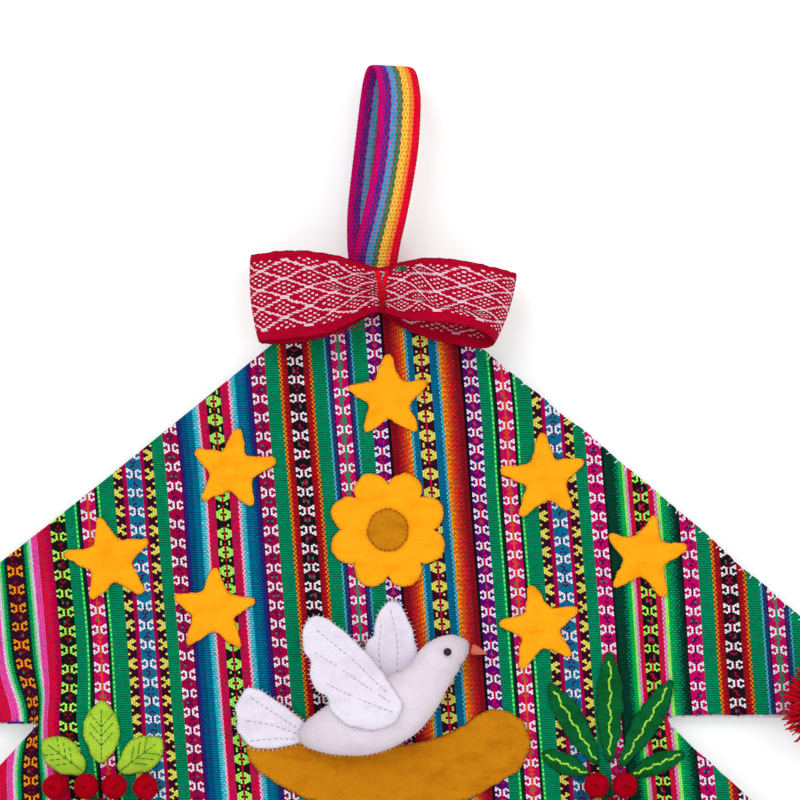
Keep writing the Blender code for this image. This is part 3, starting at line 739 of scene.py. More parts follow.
def flat_sheet(low, high, cell):
    """An uncut plain cloth between two corners (x, z), with its thread counted on it in millimetres."""
    build = bmesh.new()
    cloth_map = build.loops.layers.uv.new("cloth")
    columns = math.ceil((high[0] - low[0]) / cell)
    rows = math.ceil((high[1] - low[1]) / cell)
    points = [
        [build.verts.new((low[0] + cell * column, 0, low[1] + cell * row)) for column in range(columns + 1)]
        for row in range(rows + 1)
    ]

    def count(loop, row, column):
        loop[cloth_map].uv = (loop.vert.co.x / MM, loop.vert.co.z / MM)

    skin(build, points, mark=count)
    return mesh_from(build, "flat_sheet", smooth=False)


def stretched(at, ways):
    return add(at.tree, "ShaderNodeVectorMath", {0: at, 1: ways}, operation="MULTIPLY")


def counted(tree, name, end, pick):
    """Threads counted from a UV map in millimetres, for ends and picks of these widths."""
    return stretched(mapped(tree, name), (1 / end, 1 / pick, 0))


lining_white, tree = new_finish("white_cotton", 0.95)
threads = counted(tree, "cloth", BACKING_THREAD, BACKING_THREAD)
beads = use(tree, woven_beads, Cloth=threads, Bead=1.0, Depth=0.2)
dress(lining_white, dyed(232, 229, 232), beads["Shade"], beads["Height"], BACKING_RELIEF)

lining_edge = []
for x, z in wavering_outline:
    further = smooth_step(-BACKING_DROPS_FROM, BACKING_DROPS_FROM, x)
    drop = BACKING_DROPS[0] + (BACKING_DROPS[1] - BACKING_DROPS[0]) * further
    lining_edge.append((x * BACKING_NARROWER, z - drop))
lining_mesh = cut_out(flat_sheet(*BACKING_CORNERS, BACKING_CELL), lining_edge, BACKING_THICK, BACKING_Y)
lining = put_on("white_lining", lining_mesh, ["backing"], lining_white)

# The strap loop: a narrow woven strap in rainbow stripes, folded over the nail, with its two ends sewn down
# behind the bow. Its yellow stripe has a honeycomb of raised floats, and its selvedges are scalloped.
STRAP_WIDTH = 23 * MM
STRAP_LENGTH = 0.235
STRAP_THICK = 1.2 * MM
STRAP_STATIONS = 640
STRAP_POINTS = 14
STRAP_SCALLOP = 0.25 * MM
STRAP_PICK = 1.25 * MM
SELVEDGE = 8
STRAP_ROUTE = (
    # x, z, y of the middle line, and the turn of its width in degrees, from the back end to the front end
    (-10.5, -116, 8.5, 0), (-10.5, -105, 8.5, 0), (-10.8, -97, 8.4, 0), (-11.6, -88, 9.0, 7),
    (-12, -79, 10.0, 15), (-12, -69, 10.9, 21), (-10.3, -50.5, 11.6, 25), (-7.8, -29.5, 11.2, 25),
    (-5.6, -12, 8.6, 25), (-3.6, -2.6, 4.6, 25), (-1.2, 0.6, 0, 25), (1.4, -2.6, -4.8, 25),
    (3.0, -11, -9.6, 25), (3.3, -20, -12, 23), (2.0, -40, -13.4, 21), (-1.0, -59.5, -12, 20),
    (-4.3, -75, -7.6, 16), (-7.2, -86, -0.6, 10), (-8.8, -94, 5.4, 3), (-9.6, -101, 7.0, 0),
    (-10, -116, 7.0, 0),
)


def spline(rows, stations, closed=False):
    """Reads `stations` rows from the smooth curve through the given rows."""
    count = len(rows)
    spans = count if closed else count - 1
    found = []
    for station in range(stations):
        place = station * spans / (stations if closed else stations - 1)
        span = min(int(place), spans - 1)
        t = place - span
        steps = [span + step for step in (-1, 0, 1, 2)]
        near = [rows[step % count if closed else min(max(step, 0), count - 1)] for step in steps]
        found.append([
            0.5 * (2 * b + (c - a) * t + (2 * a - 5 * b + 4 * c - d) * t * t
                   + (3 * b - a - 3 * c + d) * t ** 3)
            for a, b, c, d in zip(*near)
        ])
    return found


def band(name, rows, closed, thick, width):
    """A woven band through rows of middle points, with rounded selvedges and its threads counted on it."""
    last = len(rows[0]) - 1
    build = bmesh.new()
    thread_map = build.loops.layers.uv.new("band")
    inner_side = build.loops.layers.float.new("inner side")
    middle = len(rows[0]) // 2
    along = [0.0]
    fronts, backs = [], []
    for index, row in enumerate(rows):
        before = rows[index - 1] if closed or index else row
        after = rows[(index + 1) % len(rows)] if closed or index + 1 < len(rows) else row
        front, back = [], []
        for side, point in enumerate(row):
            across = row[min(side + 1, last)] - row[max(side - 1, 0)]
            out = (after[side] - before[side]).cross(across).normalized()
            fullness = math.sqrt(max(0.0, 1 - abs(2 * side / last - 1) ** SELVEDGE))
            front.append(build.verts.new(point + out * fullness * thick / 2))
            edge = side in (0, last)
            back.append(front[-1] if edge else build.verts.new(point - out * fullness * thick / 2))
        fronts.append(front)
        backs.append(back)
        along.append(along[-1] + (rows[(index + 1) % len(rows)][middle] - row[middle]).length)
    for index in range(len(rows) if closed else len(rows) - 1):
        after = (index + 1) % len(rows)

        def count(loop, row, side):
            loop[thread_map].uv = (side / last * width / MM, along[index + row] / MM)
            loop[inner_side] = float(inner)

        for inner, lines in enumerate((fronts, backs)):
            skin(build, (lines[index], lines[after]), turned_over=inner == 1, mark=count)
    if not closed:
        for front, back in ((fronts[0], backs[0]), (fronts[-1], backs[-1])):
            build.faces.new(front + back[-2:0:-1])
    return mesh_from(build, name, outward=True)


def slanted(degrees):
    """The two shares of a length that is turned by an angle from +X."""
    return math.cos(math.radians(degrees)), math.sin(math.radians(degrees))


rows = []
for number, (x, z, y, turn) in enumerate(spline(STRAP_ROUTE, STRAP_STATIONS)):
    half = Vector((*slanted(turn), 0)) * STRAP_WIDTH / 2
    swell = 1 + math.cos(math.tau * number * STRAP_LENGTH / STRAP_STATIONS / STRAP_PICK)
    scallop = 1 - STRAP_SCALLOP / STRAP_WIDTH * swell
    shares = (2 * side / STRAP_POINTS - 1 for side in range(STRAP_POINTS + 1))
    rows.append([Vector((x, y, z)) * MM + half * scallop * share for share in shares])
strap_mesh = band("strap", rows, False, STRAP_THICK, STRAP_WIDTH)

STRAP_COLOURS = (
    # where the stripe starts, as a share of the width, and its dye
    (0.0, dyed(198, 0, 84)), (0.03, dyed(184, 0, 124)), (0.145, dyed(60, 38, 142)),
    (0.295, dyed(32, 156, 208)), (0.44, dyed(0, 126, 90)), (0.57, dyed(255, 206, 70)),
    (0.72, dyed(255, 142, 56)), (0.82, dyed(232, 0, 44)),
)
# The floats part at small holes that show the red weft: each a share of a column, every other column later.
HOLE_COLUMN = 0.9
HOLE_SPACING = 4.2
HOLE_HALF = (0.28, 1.0)
HOLE_SOFT = (0.6, 1.9)
HOLE_SHOWS = (0.4, 0.85)
STRAP_WEFT = dyed(222, 20, 40)
STRIPE_SWAY = 0.012
FLOAT_SHADE, FLOAT_LIGHT = 0.97, 0.18
RIDGE_SHADE, RIDGE_SHARP = 0.16, 4.0
FLOAT_SHADES = (0.82, 1.12)
HOLE_DEPTH = 1.2
STRAP_RELIEF = 0.3 * MM
strap_web, tree = new_finish("strap_web", 0.95, 0.08)
across, along, _ = split(mapped(tree, "band"))
columns = across / HOLE_COLUMN
column = math.floor(columns)
spacing = along / HOLE_SPACING + column % 2 * 0.5
chance = by_chance(column, math.floor(spacing))
hole_x = (maths("FRACT", columns) * HOLE_COLUMN + -HOLE_COLUMN / 2) / HOLE_HALF[0]
hole_y = (maths("FRACT", spacing) * HOLE_SPACING + -HOLE_SPACING / 2) / HOLE_HALF[1]
hole = ranged(hole_x * hole_x + hole_y * hole_y, *HOLE_SOFT, 1.0, 0.0) * ranged(chance, 0, 1, *HOLE_SHOWS)
share = maths("COSINE", spacing * math.tau) * STRIPE_SWAY + across / (STRAP_WIDTH / MM)
floats = humps(spacing * 2)
ridge = humps(hole_x * (HOLE_HALF[0] / HOLE_COLUMN))
# Painted highlight along the middle of each float, and painted shade where the columns of floats meet.
shade = floats * FLOAT_LIGHT + FLOAT_SHADE - ridge ** RIDGE_SHARP * RIDGE_SHADE
colour = mixed(hole, in_steps(share, STRAP_COLOURS), STRAP_WEFT)
shade = shade * ranged(chance, 0, 1, *FLOAT_SHADES)
dress(strap_web, colour, shade, floats - hole * HOLE_DEPTH, STRAP_RELIEF)
strap = put_on("rainbow_strap", strap_mesh, ["strap_loop"], strap_web)

# The bow: one ring of patterned ribbon pressed together at the waist, so that it makes two loops. The ribbon
# is crimson with a white lattice of diamonds, each with nine dots in it, and folds run out from the waist.
RIBBON_STATIONS = 420
RIBBON_POINTS = 36
RIBBON_THICK = 1.0 * MM
RIBBON_WIDTH = 44 * MM
RIBBON_CUP = 2.6 * MM
CUP_FULL = 10 * MM
RIBBON_FOLDS, FOLD_DEEP, WAIST_FOLD = 1.5, 1.2 * MM, 0.2 * MM
FINE_FOLDS, FINE_FOLD_DEEP, FINE_FOLDS_START = 4.5, 0.7 * MM, 0.6
RIBBON_FRAY = 0.12 * MM
RIBBON_RIPPLE = 0.45 * MM
RIBBON_RIPPLES = (0.16, 3)
LOOP_BULGE = 1.8 * MM
LOOP_END = (46 * MM, 64 * MM)
FRONT_BEFORE = 3 * MM
# Where pleats run out from the waist: x at the waist and where the pleat ends, its share of the width at
# both, how much cloth it takes up, and how wide it is.
PLEATS = (
    (-6.5, -42, 0.56, 0.36, 0.17, 0.09), (-6.5, -24, 0.28, 0.12, 0.08, 0.06),
    (-6.5, 26, 0.2, 0.2, 0.24, 0.07), (5, 61, 0.66, 0.74, 0.3, 0.1), (-6.5, 14, 0.8, 0.9, 0.1, 0.06),
)
PLEAT_DEEP = 7 * MM
PLEAT_OPENS = (0.05, 0.3)
PLEAT_FADES = 0.4
RIBBON_ROUTE = (
    # top x, z, y, bottom x, z, y, and how far it is gathered, once round from the front by the left loop
    (-6.5, -99, 1.8, -6.5, -121.5, 1.8, 1), (-15, -97, -0.6, -15, -124, -1.4, 0.55),
    (-30.5, -92.8, -7, -30.5, -131.8, -9, 0.1), (-49, -91, -9.5, -48, -134.8, -11, 0),
    (-64, -92.3, -6.5, -61.5, -136, -7, 0), (-70.5, -93, -1, -66.4, -136.4, -0.6, 0),
    (-65, -93.4, 3.6, -61, -137.2, 4.0, 0), (-48, -93.4, 4.6, -47, -136.6, 5.2, 0),
    (-30, -96, 4.0, -30, -132.4, 4.4, 0.1), (-15, -98.6, 4.0, -15, -125, 4.0, 0.55),
    (-6.5, -99, 3.9, -6.5, -121.5, 3.9, 1), (2.5, -98.6, 4.0, 2.5, -128, 3.8, 0.55),
    (18, -96, 3.8, 18, -134.6, 2.2, 0.1), (36, -98, 3.2, 34.5, -138.2, 1.0, 0),
    (51, -101, 2.6, 45, -139.4, -1.0, 0), (61, -102.4, -2.4, 50, -137.4, -7.5, 0),
    (57, -101.1, -7.4, 47, -133.6, -17, 0), (48.3, -99, -10.4, 41, -130.4, -22, 0),
    (34.5, -96.2, -11.4, 31, -128, -24.3, 0), (17.8, -94.6, -9, 17.5, -126.6, -19.5, 0),
    (4.5, -96.4, -2.6, 4.5, -124.8, -6, 0.5),
)


def pleated(x, share, front):
    """Where a share of the ribbon's width lies between its edges, and how deep the pleats are there."""
    place, deep = share, 0.0
    for waist, end, low, high, takes, wide in PLEATS:
        reach = (x / MM - waist) / (end - waist)
        if not front or not 0 <= reach <= 1:
            continue
        takes *= smooth_step(0, PLEAT_OPENS[waist > 0], reach) * (1 - smooth_step(PLEAT_FADES, 1.0, reach))
        middle = low + (high - low) * reach
        place += takes * (share - 0.5 - 0.5 * math.tanh((share - middle) / wide))
        deep += takes * math.exp(-((share - middle) / wide) ** 2)
    return place, deep


rows = []
frays = random.Random(9)
for *edges, gather in spline(RIBBON_ROUTE, RIBBON_STATIONS, closed=True):
    top_x, top_z, top_y, low_x, low_z, low_y = (value * MM for value in edges)
    top, low = Vector((top_x, top_y, top_z)), Vector((low_x, low_y, low_z))
    gather = min(1.0, max(0.0, gather))
    fold = 4 * gather * (1 - gather) * FOLD_DEEP + gather * WAIST_FOLD
    fine_fold = 4 * gather * (1 - gather) * FINE_FOLD_DEEP
    front = -1 if top_y < FRONT_BEFORE else 1
    cup = (1 - gather) * RIBBON_CUP * max(0.0, -top_y / CUP_FULL) * front
    fray = [frays.uniform(-1, 1) * RIBBON_FRAY for side in range(2)]
    row = []
    for step in range(RIBBON_POINTS + 1):
        share = step / RIBBON_POINTS
        place, deep = pleated(top_x, share, front < 0)
        point = top.lerp(low, place)
        point.y += deep * PLEAT_DEEP
        ripple = RIBBON_RIPPLE * noise.noise((len(rows) * RIBBON_RIPPLES[0], share * RIBBON_RIPPLES[1], 2.0))
        point.z += ripple * (1 - gather) * (2 * share - 1) ** 2
        at_end = smooth_step(*LOOP_END, abs(top_x))
        point.x += math.copysign(at_end * LOOP_BULGE * math.sin(math.pi * share), top_x)
        if step in (0, RIBBON_POINTS):
            point.z += fray[step > 0]
        point.y += cup * math.sin(math.pi * share) + fold * math.sin(math.tau * RIBBON_FOLDS * share)
        point.y += fine_fold * math.sin(math.tau * FINE_FOLDS * share + FINE_FOLDS_START)
        row.append(point)
    rows.append(row)
ribbon_mesh = band("ribbon", rows, True, RIBBON_THICK, RIBBON_WIDTH)


def even_and_off(value):
    """The nearest even number, and how far the value lies off it."""
    even = round(value * 0.5) * 2.0
    return even, value - even


def within(value, reach):
    return abs(value) < reach


def diamonds(along, level, size):
    """How far along the two slants of a lattice a place lies, counted in half diamonds."""
    across, up = along / size[0], level / size[1]
    return across + up, across - up


# The ribbon's pattern in millimetres: its diamonds are half as long and high as this, the floats that draw it
# are one end high, and it is counted afresh behind the waist, where the ribbon's ends meet.
DIAMOND = (12.3, 4.8)
FLOAT = (1.3, 0.8)
PATTERN_MIDDLE = 18.6
PATTERN_LIMITS = (-14.9, 19.8)
PATTERN_SLACK = (2.2, 1.3, 0.9)
SLACK_CLOUDS = 0.11
PATTERN_STARTS = (-2.1, 1.3)
DOTS = (2.2, 1.16)
DOT_SIZE = 0.66
DOT_BLOCK = 2.5
END_GAP = (0.3, 0.46, 0.35)
INNER_PALE = 0.55
RIB_SHADE, RIB_LIGHT = 0.86, 0.2
PATTERN_STANDS = 0.5
RIBBON_RELIEF = 0.2 * MM
BACK_OF_WAIST = 10
waist_row = RIBBON_STATIONS * BACK_OF_WAIST // len(RIBBON_ROUTE)
middles = [row[RIBBON_POINTS // 2] for row in rows]
joins = [sum((middles[index] - middles[index - 1]).length for index in span) / MM
         for span in (range(1, waist_row), range(RIBBON_STATIONS))]
ribbon_weave, tree = new_finish("ribbon_weave", 0.95, 0.06)
across, far, _ = split(mapped(tree, "band"))
clouds = split(cloudy(mapped(tree, "band"), SLACK_CLOUDS, out="Color"))
slack = [(part - 0.5) * (most * 2) for part, most in zip(clouds, PATTERN_SLACK[:2])]
along = far + PATTERN_STARTS[0] + (far > joins[0]) * (PATTERN_STARTS[1] - PATTERN_STARTS[0] - joins[1])
along = along + slack[0]
level = across - PATTERN_MIDDLE + slack[1]
end = math.floor(level / FLOAT[1])
on_end = end * FLOAT[1] + FLOAT[1] / 2
ragged = along + (by_chance(end) - 0.5) * PATTERN_SLACK[2] + (level - on_end)
rising, falling = (maths("PINGPONG", slant, 1.0) for slant in diamonds(ragged, on_end, DIAMOND))
line = maths("MAXIMUM", rising, falling) > 1 - FLOAT[0] / DIAMOND[0]
(_, rising), (_, falling) = (even_and_off(slant) for slant in diamonds(along, level, DIAMOND))
from_middle, above_middle = (rising + falling) * (DIAMOND[0] / 2), (rising - falling) * (DIAMOND[1] / 2)
dots = [even_and_off(slant) for slant in diamonds(from_middle, above_middle, DOTS)]
(near_rising, rising), (near_falling, falling) = dots
dot = within(rising + falling, DOT_SIZE) * within(rising - falling, DOT_SIZE)
dot = dot * (within(near_rising, DOT_BLOCK) * within(near_falling, DOT_BLOCK))
line = line * ranged(abs((level - on_end) / FLOAT[1]), END_GAP[0], END_GAP[1], 1.0, END_GAP[2])
pattern = maths("MAXIMUM", line, dot) * (level > PATTERN_LIMITS[0]) * (level < PATTERN_LIMITS[1])
threads = counted(tree, "band", FLOAT[1], FLOAT[0] / 2)
beads = use(tree, woven_beads, Cloth=threads, Bead=1.0, Depth=0.3, Narrow=0.6)
ribs = humps(far / FLOAT[0])
inner = add(tree, "ShaderNodeAttribute", out="Fac", attribute_name="inner side")
pattern = pattern * ranged(inner, 0, 1, 1.0, INNER_PALE)
colour = mixed(pattern, dyed(184, 0, 42), dyed(252, 222, 238))
shade = beads["Shade"] * (ribs ** 0.5 * RIB_LIGHT + RIB_SHADE)
dress(ribbon_weave, colour, shade, pattern * PATTERN_STANDS + beads["Height"] + ribs, RIBBON_RELIEF)
ribbon = put_on("bow_of_ribbon", ribbon_mesh, ["bow_ribbon"], ribbon_weave)

# The red thread wound round the bow's waist, drawn closer at the bottom, with two loose ends and a tuft of
# green wool caught in it.
BINDING_X = -5.4 * MM
BINDING_Y = (-0.4 * MM, 5.65 * MM)
BINDING_Z = (-121.8 * MM, -100.2 * MM)
BINDING_TURNS = 13
BINDING_STEPS = 28
BINDING_BENDS = (0.45, 0.75)
BUNDLES_APART = (2.7 * MM, 0.2 * MM)
BUNDLE_HALF = (0.9 * MM, 0.6 * MM)
BUNDLE_START = 0.25
THREAD = 0.62 * MM
THREADS_CROSS = 0.35 * MM
THREAD_TURNS = (2.3, 3.3)
BINDING_STRANDS = 1800.0
BINDING_SHADES = (0.7, 1.15)
BINDING_SHADED, IN_SHADE = (-0.119, -0.106), 0.35
LOOSE_STATIONS = 24
LOOSE_ENDS = (
    # x, z, y
    ((-7.0, -122.5, 2.0), (-9.5, -124.6, 0.5), (-13.5, -126.4, -2.0), (-20.5, -129.3, -6.5),
     (-27.5, -131.0, -9.9), (-31, -131.4, -10.6)),
    ((-6.4, -123.0, 3.0), (-10, -127.4, 4.0), (-15.5, -129.4, 3.0), (-21.5, -130.8, -1.0),
     (-27.5, -132.2, -7.0), (-30, -132.4, -10.0)),
)
LOOSE_RADIUS = 0.2 * MM
TUFT_AT = (4.3, -3.2, -99.8)
TUFT_HAIRS = 46
TUFT_WIDE, TUFT_HIGH = 0.9, 0.5
HAIR_SIDEWAYS, HAIR_FORWARDS, HAIR_UPWARDS = 1.2, (-0.6, 0.3), 0.7
HAIR_CURL = (0.5, -0.4, 0.6)
HAIR_RADIUS = 0.14 * MM


def turns(sides):
    """The angle of each side, once round."""
    return [math.tau * side / sides for side in range(sides)]


def tube(build, route, radius, sides=6):
    """A round thread along the route, with closed ends."""
    rings = []
    for index, point in enumerate(route):
        ahead = (route[min(index + 1, len(route) - 1)] - route[max(index - 1, 0)]).normalized()
        side = ahead.cross(Vector((0.31, 0.22, 0.92))).normalized()
        up = side.cross(ahead)
        outs = (side * math.cos(turn) + up * math.sin(turn) for turn in turns(sides))
        rings.append([build.verts.new(point + out * radius) for out in outs])
    skin(build, rings, ringed=True)
    build.faces.new(rings[0][::-1])
    build.faces.new(rings[-1])


def placed(tree):
    """Where a point lies on the piece itself."""
    return add(tree, "ShaderNodeTexCoord", out="Object")


def by_thread(tree):
    """A random number for each separate thread of a piece."""
    return add(tree, "ShaderNodeNewGeometry", out="Random Per Island")


build = bmesh.new()
route = []
for step in range(BINDING_TURNS * BINDING_STEPS + 1):
    angle = math.tau * step / BINDING_STEPS
    out, up = math.cos(angle), math.sin(angle)
    y, z = (
        sum(limits) / 2 + (limits[1] - limits[0]) / 2 * math.copysign(abs(way) ** bend, way)
        for limits, way, bend in zip((BINDING_Y, BINDING_Z), (out, up), BINDING_BENDS)
    )
    turn = step / BINDING_STEPS
    apart, half = (low + (high - low) * (up + 1) / 2 for high, low in (BUNDLES_APART, BUNDLE_HALF))
    x = BINDING_X + apart * math.sin(math.pi * (turn + BUNDLE_START))
    x += half * math.sin(THREAD_TURNS[0] * turn)
    y -= THREADS_CROSS * math.sin(THREAD_TURNS[1] * turn) * (1 if out < 0 else -1)
    route.append(Vector((x, y, z)))
tube(build, route, THREAD / 2)
for end in LOOSE_ENDS:
    tube(build, [Vector((x, y, z)) * MM for x, z, y in spline(end, LOOSE_STATIONS)], LOOSE_RADIUS, 5)
binding_mesh = mesh_from(build, "binding", outward=True)
red_thread, tree = new_finish("red_thread", 0.8, 0.1)
at = placed(tree)
shade = ranged(cloudy(at, BINDING_STRANDS, 1.0), *MIDDLE_OF_NOISE, *BINDING_SHADES)
# Painted shade: the thread darkens towards the bottom of the waist, where the ribbon's folds shade it.
dress(red_thread, dyed(232, 0, 34), shade * ranged(split(at)[2], *BINDING_SHADED, IN_SHADE, 1.0))
put_on("waist_thread", binding_mesh, ["bow_binding"], red_thread)

build = bmesh.new()
hairs = random.Random(12)
for _ in range(TUFT_HAIRS):
    off = (hairs.gauss(0, TUFT_WIDE), -hairs.random(), hairs.gauss(0, TUFT_HIGH))
    start = Vector([place + by for place, by in zip(TUFT_AT, off)])
    way = Vector((hairs.gauss(0, HAIR_SIDEWAYS), hairs.uniform(*HAIR_FORWARDS), hairs.gauss(0, HAIR_UPWARDS)))
    curl = Vector((hairs.gauss(0, HAIR_CURL[0]), HAIR_CURL[1], hairs.gauss(0, HAIR_CURL[2])))
    points = [(start + way * share + curl * math.sin(math.pi * share)) * MM for share in (0, 0.3, 0.6, 1)]
    tube(build, points, HAIR_RADIUS, 4)
green_wool, tree = new_finish("green_wool", 0.95)
dress(green_wool, mixed(by_thread(tree), dyed(0, 78, 56), dyed(10, 172, 120)))
put_on("caught_tuft", mesh_from(build, "green_tuft", outward=True), finish=green_wool)

# The felt pieces: stars, a flower and a curved band cut from wool felt and sewn down with small stitches, so
# that their edges are rounded and drawn in a little.
FELT_THICK = 1.5 * MM
FELT_Y = 8.35 * MM
FELT_STEP = 1.8 * MM
FELT_RIM = ((0, 0), (0.08, 0.5), (0.3, 0.85), (0.75, 1.0))
FELT_INWARD = (0.1, 0.26, 0.45, 0.68, 0.86, 1.0)
FELT_PUFF = 0.22 * MM
FELT_PUFF_FULL = 6 * MM
CUT_WAVER = 0.95 * MM
CUT_WAVERS, FINE_WAVERS, FINE_WAVER = 170, 480, 0.45
CUT_STEP = 0.9 * MM
CUT_CORNER = 3 * MM


def on_cloth(layer):
    """The middle plane of felt in the given layer on the cloth, the first being 1."""
    depth = FELT_Y - (layer - 1) * FELT_STEP
    return lambda x, z: depth + hang(x, z)


def felt_shape(edge, feet, depth):
    """Felt inside the edge. Its rings of points lie between each point of the edge and its foot inside."""
    build = bmesh.new()
    edge_map = build.loops.layers.uv.new("edge")
    inward = []
    for (x, z), (middle_x, middle_z) in zip(edge, feet):
        inward.append((x, z, middle_x - x, middle_z - z, math.hypot(middle_x - x, middle_z - z)))
    around = [0.0]
    for index, (x, z) in enumerate(edge):
        next_x, next_z = edge[(index + 1) % len(edge)]
        around.append(around[-1] + math.hypot(next_x - x, next_z - z))
    rings = [(sink, inset * MM, 0) for inset, sink in FELT_RIM]
    rings += [(1.0, FELT_RIM[-1][0] * MM, share) for share in FELT_INWARD]
    for facing in (-1, 1):
        lines, reaches = [], []
        for sink, inset, share in rings:
            line, reach = [], []
            for x, z, way_x, way_z, way in inward:
                step = min(1.0, inset / max(way, 1e-6)) * (1 - share) + share
                px, pz = x + way_x * step, z + way_z * step
                puff = FELT_PUFF * smooth_step(0, FELT_PUFF_FULL, way * step) if facing < 0 else 0
                py = depth(px, pz) + facing * (FELT_THICK / 2 * sink + puff)
                line.append(build.verts.new((px, py, pz)))
                reach.append(way * step)
            lines.append(line)
            reaches.append(reach)

        def measure(loop, row, place):
            loop[edge_map].uv = (around[place] / MM, reaches[row][place % len(edge)] / MM)

        skin(build, lines, ringed=True, mark=measure)
    bmesh.ops.remove_doubles(build, verts=build.verts, dist=2 * WELD)
    return mesh_from(build, "felt", outward=True)


def felt_piece(name, node, finish, edge, feet, depth, flat, area):
    """A felt piece laid on others, and the line round its front edge to sew along."""
    piece = put_on(name, felt_shape(edge, feet, depth), [node], finish)
    return piece, ([(x, depth(x, z) - FELT_THICK / 2, z) for x, z in edge], True)


def hand_cut(edge, most=CUT_WAVER):
    """The edge as scissors leave it, a little in and out along the drawn line."""
    found = []
    for index, (x, z) in enumerate(edge):
        before, after = edge[index - 1], edge[(index + 1) % len(edge)]
        way = Vector((after[0] - before[0], after[1] - before[1])).normalized()
        out = noise.noise((x * CUT_WAVERS, z * CUT_WAVERS, 3.0))
        out += FINE_WAVER * noise.noise((x * FINE_WAVERS, z * FINE_WAVERS, 5.0))
        found.append((x + way.y * out * most, z - way.x * out * most))
    return found


FIBRES_LIE = (1, 1, 2.2)
CREASES, CREASE_PAINTED_SHADE, CREASE_DENTS = 75.0, (0.48, 0.72), 1.5
SPECKS, SPECK_SHOWS_OVER, SPECK_DEEP = 620.0, (0.62, 0.74), 0.9
BROAD_MOTTLE, FINE_MOTTLE = 170.0, 1300.0
NAP_LIGHT = 1.03
DRAWN_IN = 1.5
DENT_PAINTED_SHADE = 0.22
EDGE_PAINTED_SHADE = 0.6
PAINTED_SHADE_AND_SPECK_DARK = 0.05
FELT_RELIEF = 0.3 * MM
SHADE_AND_SPECK_DYE_POWER = 1.16
STITCH_EVERY = 1.8


def nap_effect():
    """Felted wool: mottled, with short matted fibres and dark specks. Painted shade darkens it where it is
    drawn in at its edge, in its stitch dents and along its creases.
    """
    group, (place, edge, mottle) = effect("felt nap", Place=None, Edge=None, Mottle=0.16)
    lain = stretched(place, FIBRES_LIE)
    creases = cloudy(lain, CREASES, 2.5)
    specks = ranged(cloudy(lain, SPECKS, 1.0), *SPECK_SHOWS_OVER, 0.0, SPECK_DEEP)
    broad, fine = cloudy(place, BROAD_MOTTLE, 3.0), cloudy(place, FINE_MOTTLE, distortion=0.8)
    along, from_edge, _ = split(edge)
    stitch = maths("COSINE", along / STITCH_EVERY * math.tau)
    near = ranged(from_edge, 0.0, DRAWN_IN, 1.0, 0.0)
    dent = near * (stitch * 0.5 + 0.5)
    # Painted shade along the creases and near the drawn-in edge, added to the felt's own dark specks.
    deep = ranged(creases, *CREASE_PAINTED_SHADE) + specks + near * EDGE_PAINTED_SHADE
    # Painted shade in the stitch dents, and from the mask above; the broad and fine mottles are the felt's
    # own tone.
    shade = NAP_LIGHT - dent * DENT_PAINTED_SHADE - deep * PAINTED_SHADE_AND_SPECK_DARK + (broad - 0.5) * mottle + (fine - 0.5) * mottle
    return give(group, Shade=shade, Height=fine + broad - dent - creases * CREASE_DENTS, Deep=deep)


felt_nap = nap_effect()


def felt_finish(name, dye, mottle=0.3):
    material, tree = new_finish(name, 0.95, 0.08, sheen=0.06)
    nap = use(tree, felt_nap, Place=placed(tree), Edge=mapped(tree, "edge"), Mottle=mottle)
    # A darker copy of the dye for the painted shade of the creases and edge, and for the dark specks.
    shade_and_speck_dye = (*(value ** SHADE_AND_SPECK_DYE_POWER for value in dye[:3]), 1)
    return dress(material, mixed(nap["Deep"], dye, shade_and_speck_dye), nap["Shade"], nap["Height"], FELT_RELIEF)


def new_maker(name, numbers, vectors=()):
    """A Geometry Nodes tree that takes a mesh, these numbers and vectors, a seed and a material."""
    tree = bpy.data.node_groups.new(name, "GeometryNodeTree")
    tree.interface.new_socket("Geometry", in_out="OUTPUT", socket_type="NodeSocketGeometry")
    takes = {"Geometry": ["Geometry"], "Float": numbers, "Vector": vectors, "Int": ["Seed"],
             "Material": ["Material"]}
    for kind, labels in takes.items():
        for label in labels:
            tree.interface.new_socket(label, in_out="INPUT", socket_type=f"NodeSocket{kind}")
    taken = tree.nodes.new("NodeGroupInput").outputs
    return tree, {socket.name: Value(socket) for socket in taken if socket.name}


def by_lot(low, high, seed):
    """A number between two, drawn anew for every thread."""
    inputs = {2: low, 3: high, "Seed": seed}
    return add(seed.tree, "FunctionNodeRandomValue", inputs, out=1, data_type="FLOAT")


def bent_thread(bends, start, middle, end, thickness, scale=1.0):
    """One round thread from start to end, bent towards the middle."""
    tree = thickness.tree
    arc = add(tree, "GeometryNodeCurveQuadraticBezier",
              {"Resolution": bends, "Start": start, "Middle": middle, "End": end})
    ring = add(tree, "GeometryNodeCurvePrimitiveCircle", {"Resolution": 5, "Radius": thickness * 0.5})
    inputs = {"Curve": arc, "Profile Curve": ring, "Scale": scale, "Fill Caps": True}
    return add(tree, "GeometryNodeCurveToMesh", inputs)


def stand(points, thread, rotation, turn, scale, material):
    """Threads stood on the points and turned further, made real and smooth, as what the tree gives."""
    tree = points.tree
    further = add(tree, "FunctionNodeEulerToRotation", {0: turn})
    rotation = add(tree, "FunctionNodeRotateRotation", {0: rotation, 1: further}, rotation_space="LOCAL")
    inputs = {"Points": points, "Instance": thread, "Rotation": rotation, "Scale": scale}
    whole = add(tree, "GeometryNodeInstanceOnPoints", inputs)
    whole = add(tree, "GeometryNodeRealizeInstances", {"Geometry": whole})
    whole = add(tree, "GeometryNodeSetShadeSmooth", {"Geometry": whole, "Shade Smooth": True})
    whole = add(tree, "GeometryNodeSetMaterial", {"Geometry": whole, "Material": material})
    tree.links.new(whole.socket, tree.nodes.new("NodeGroupOutput").inputs[0])
    return tree


STITCH_SIZES = (0.85, 1.15)


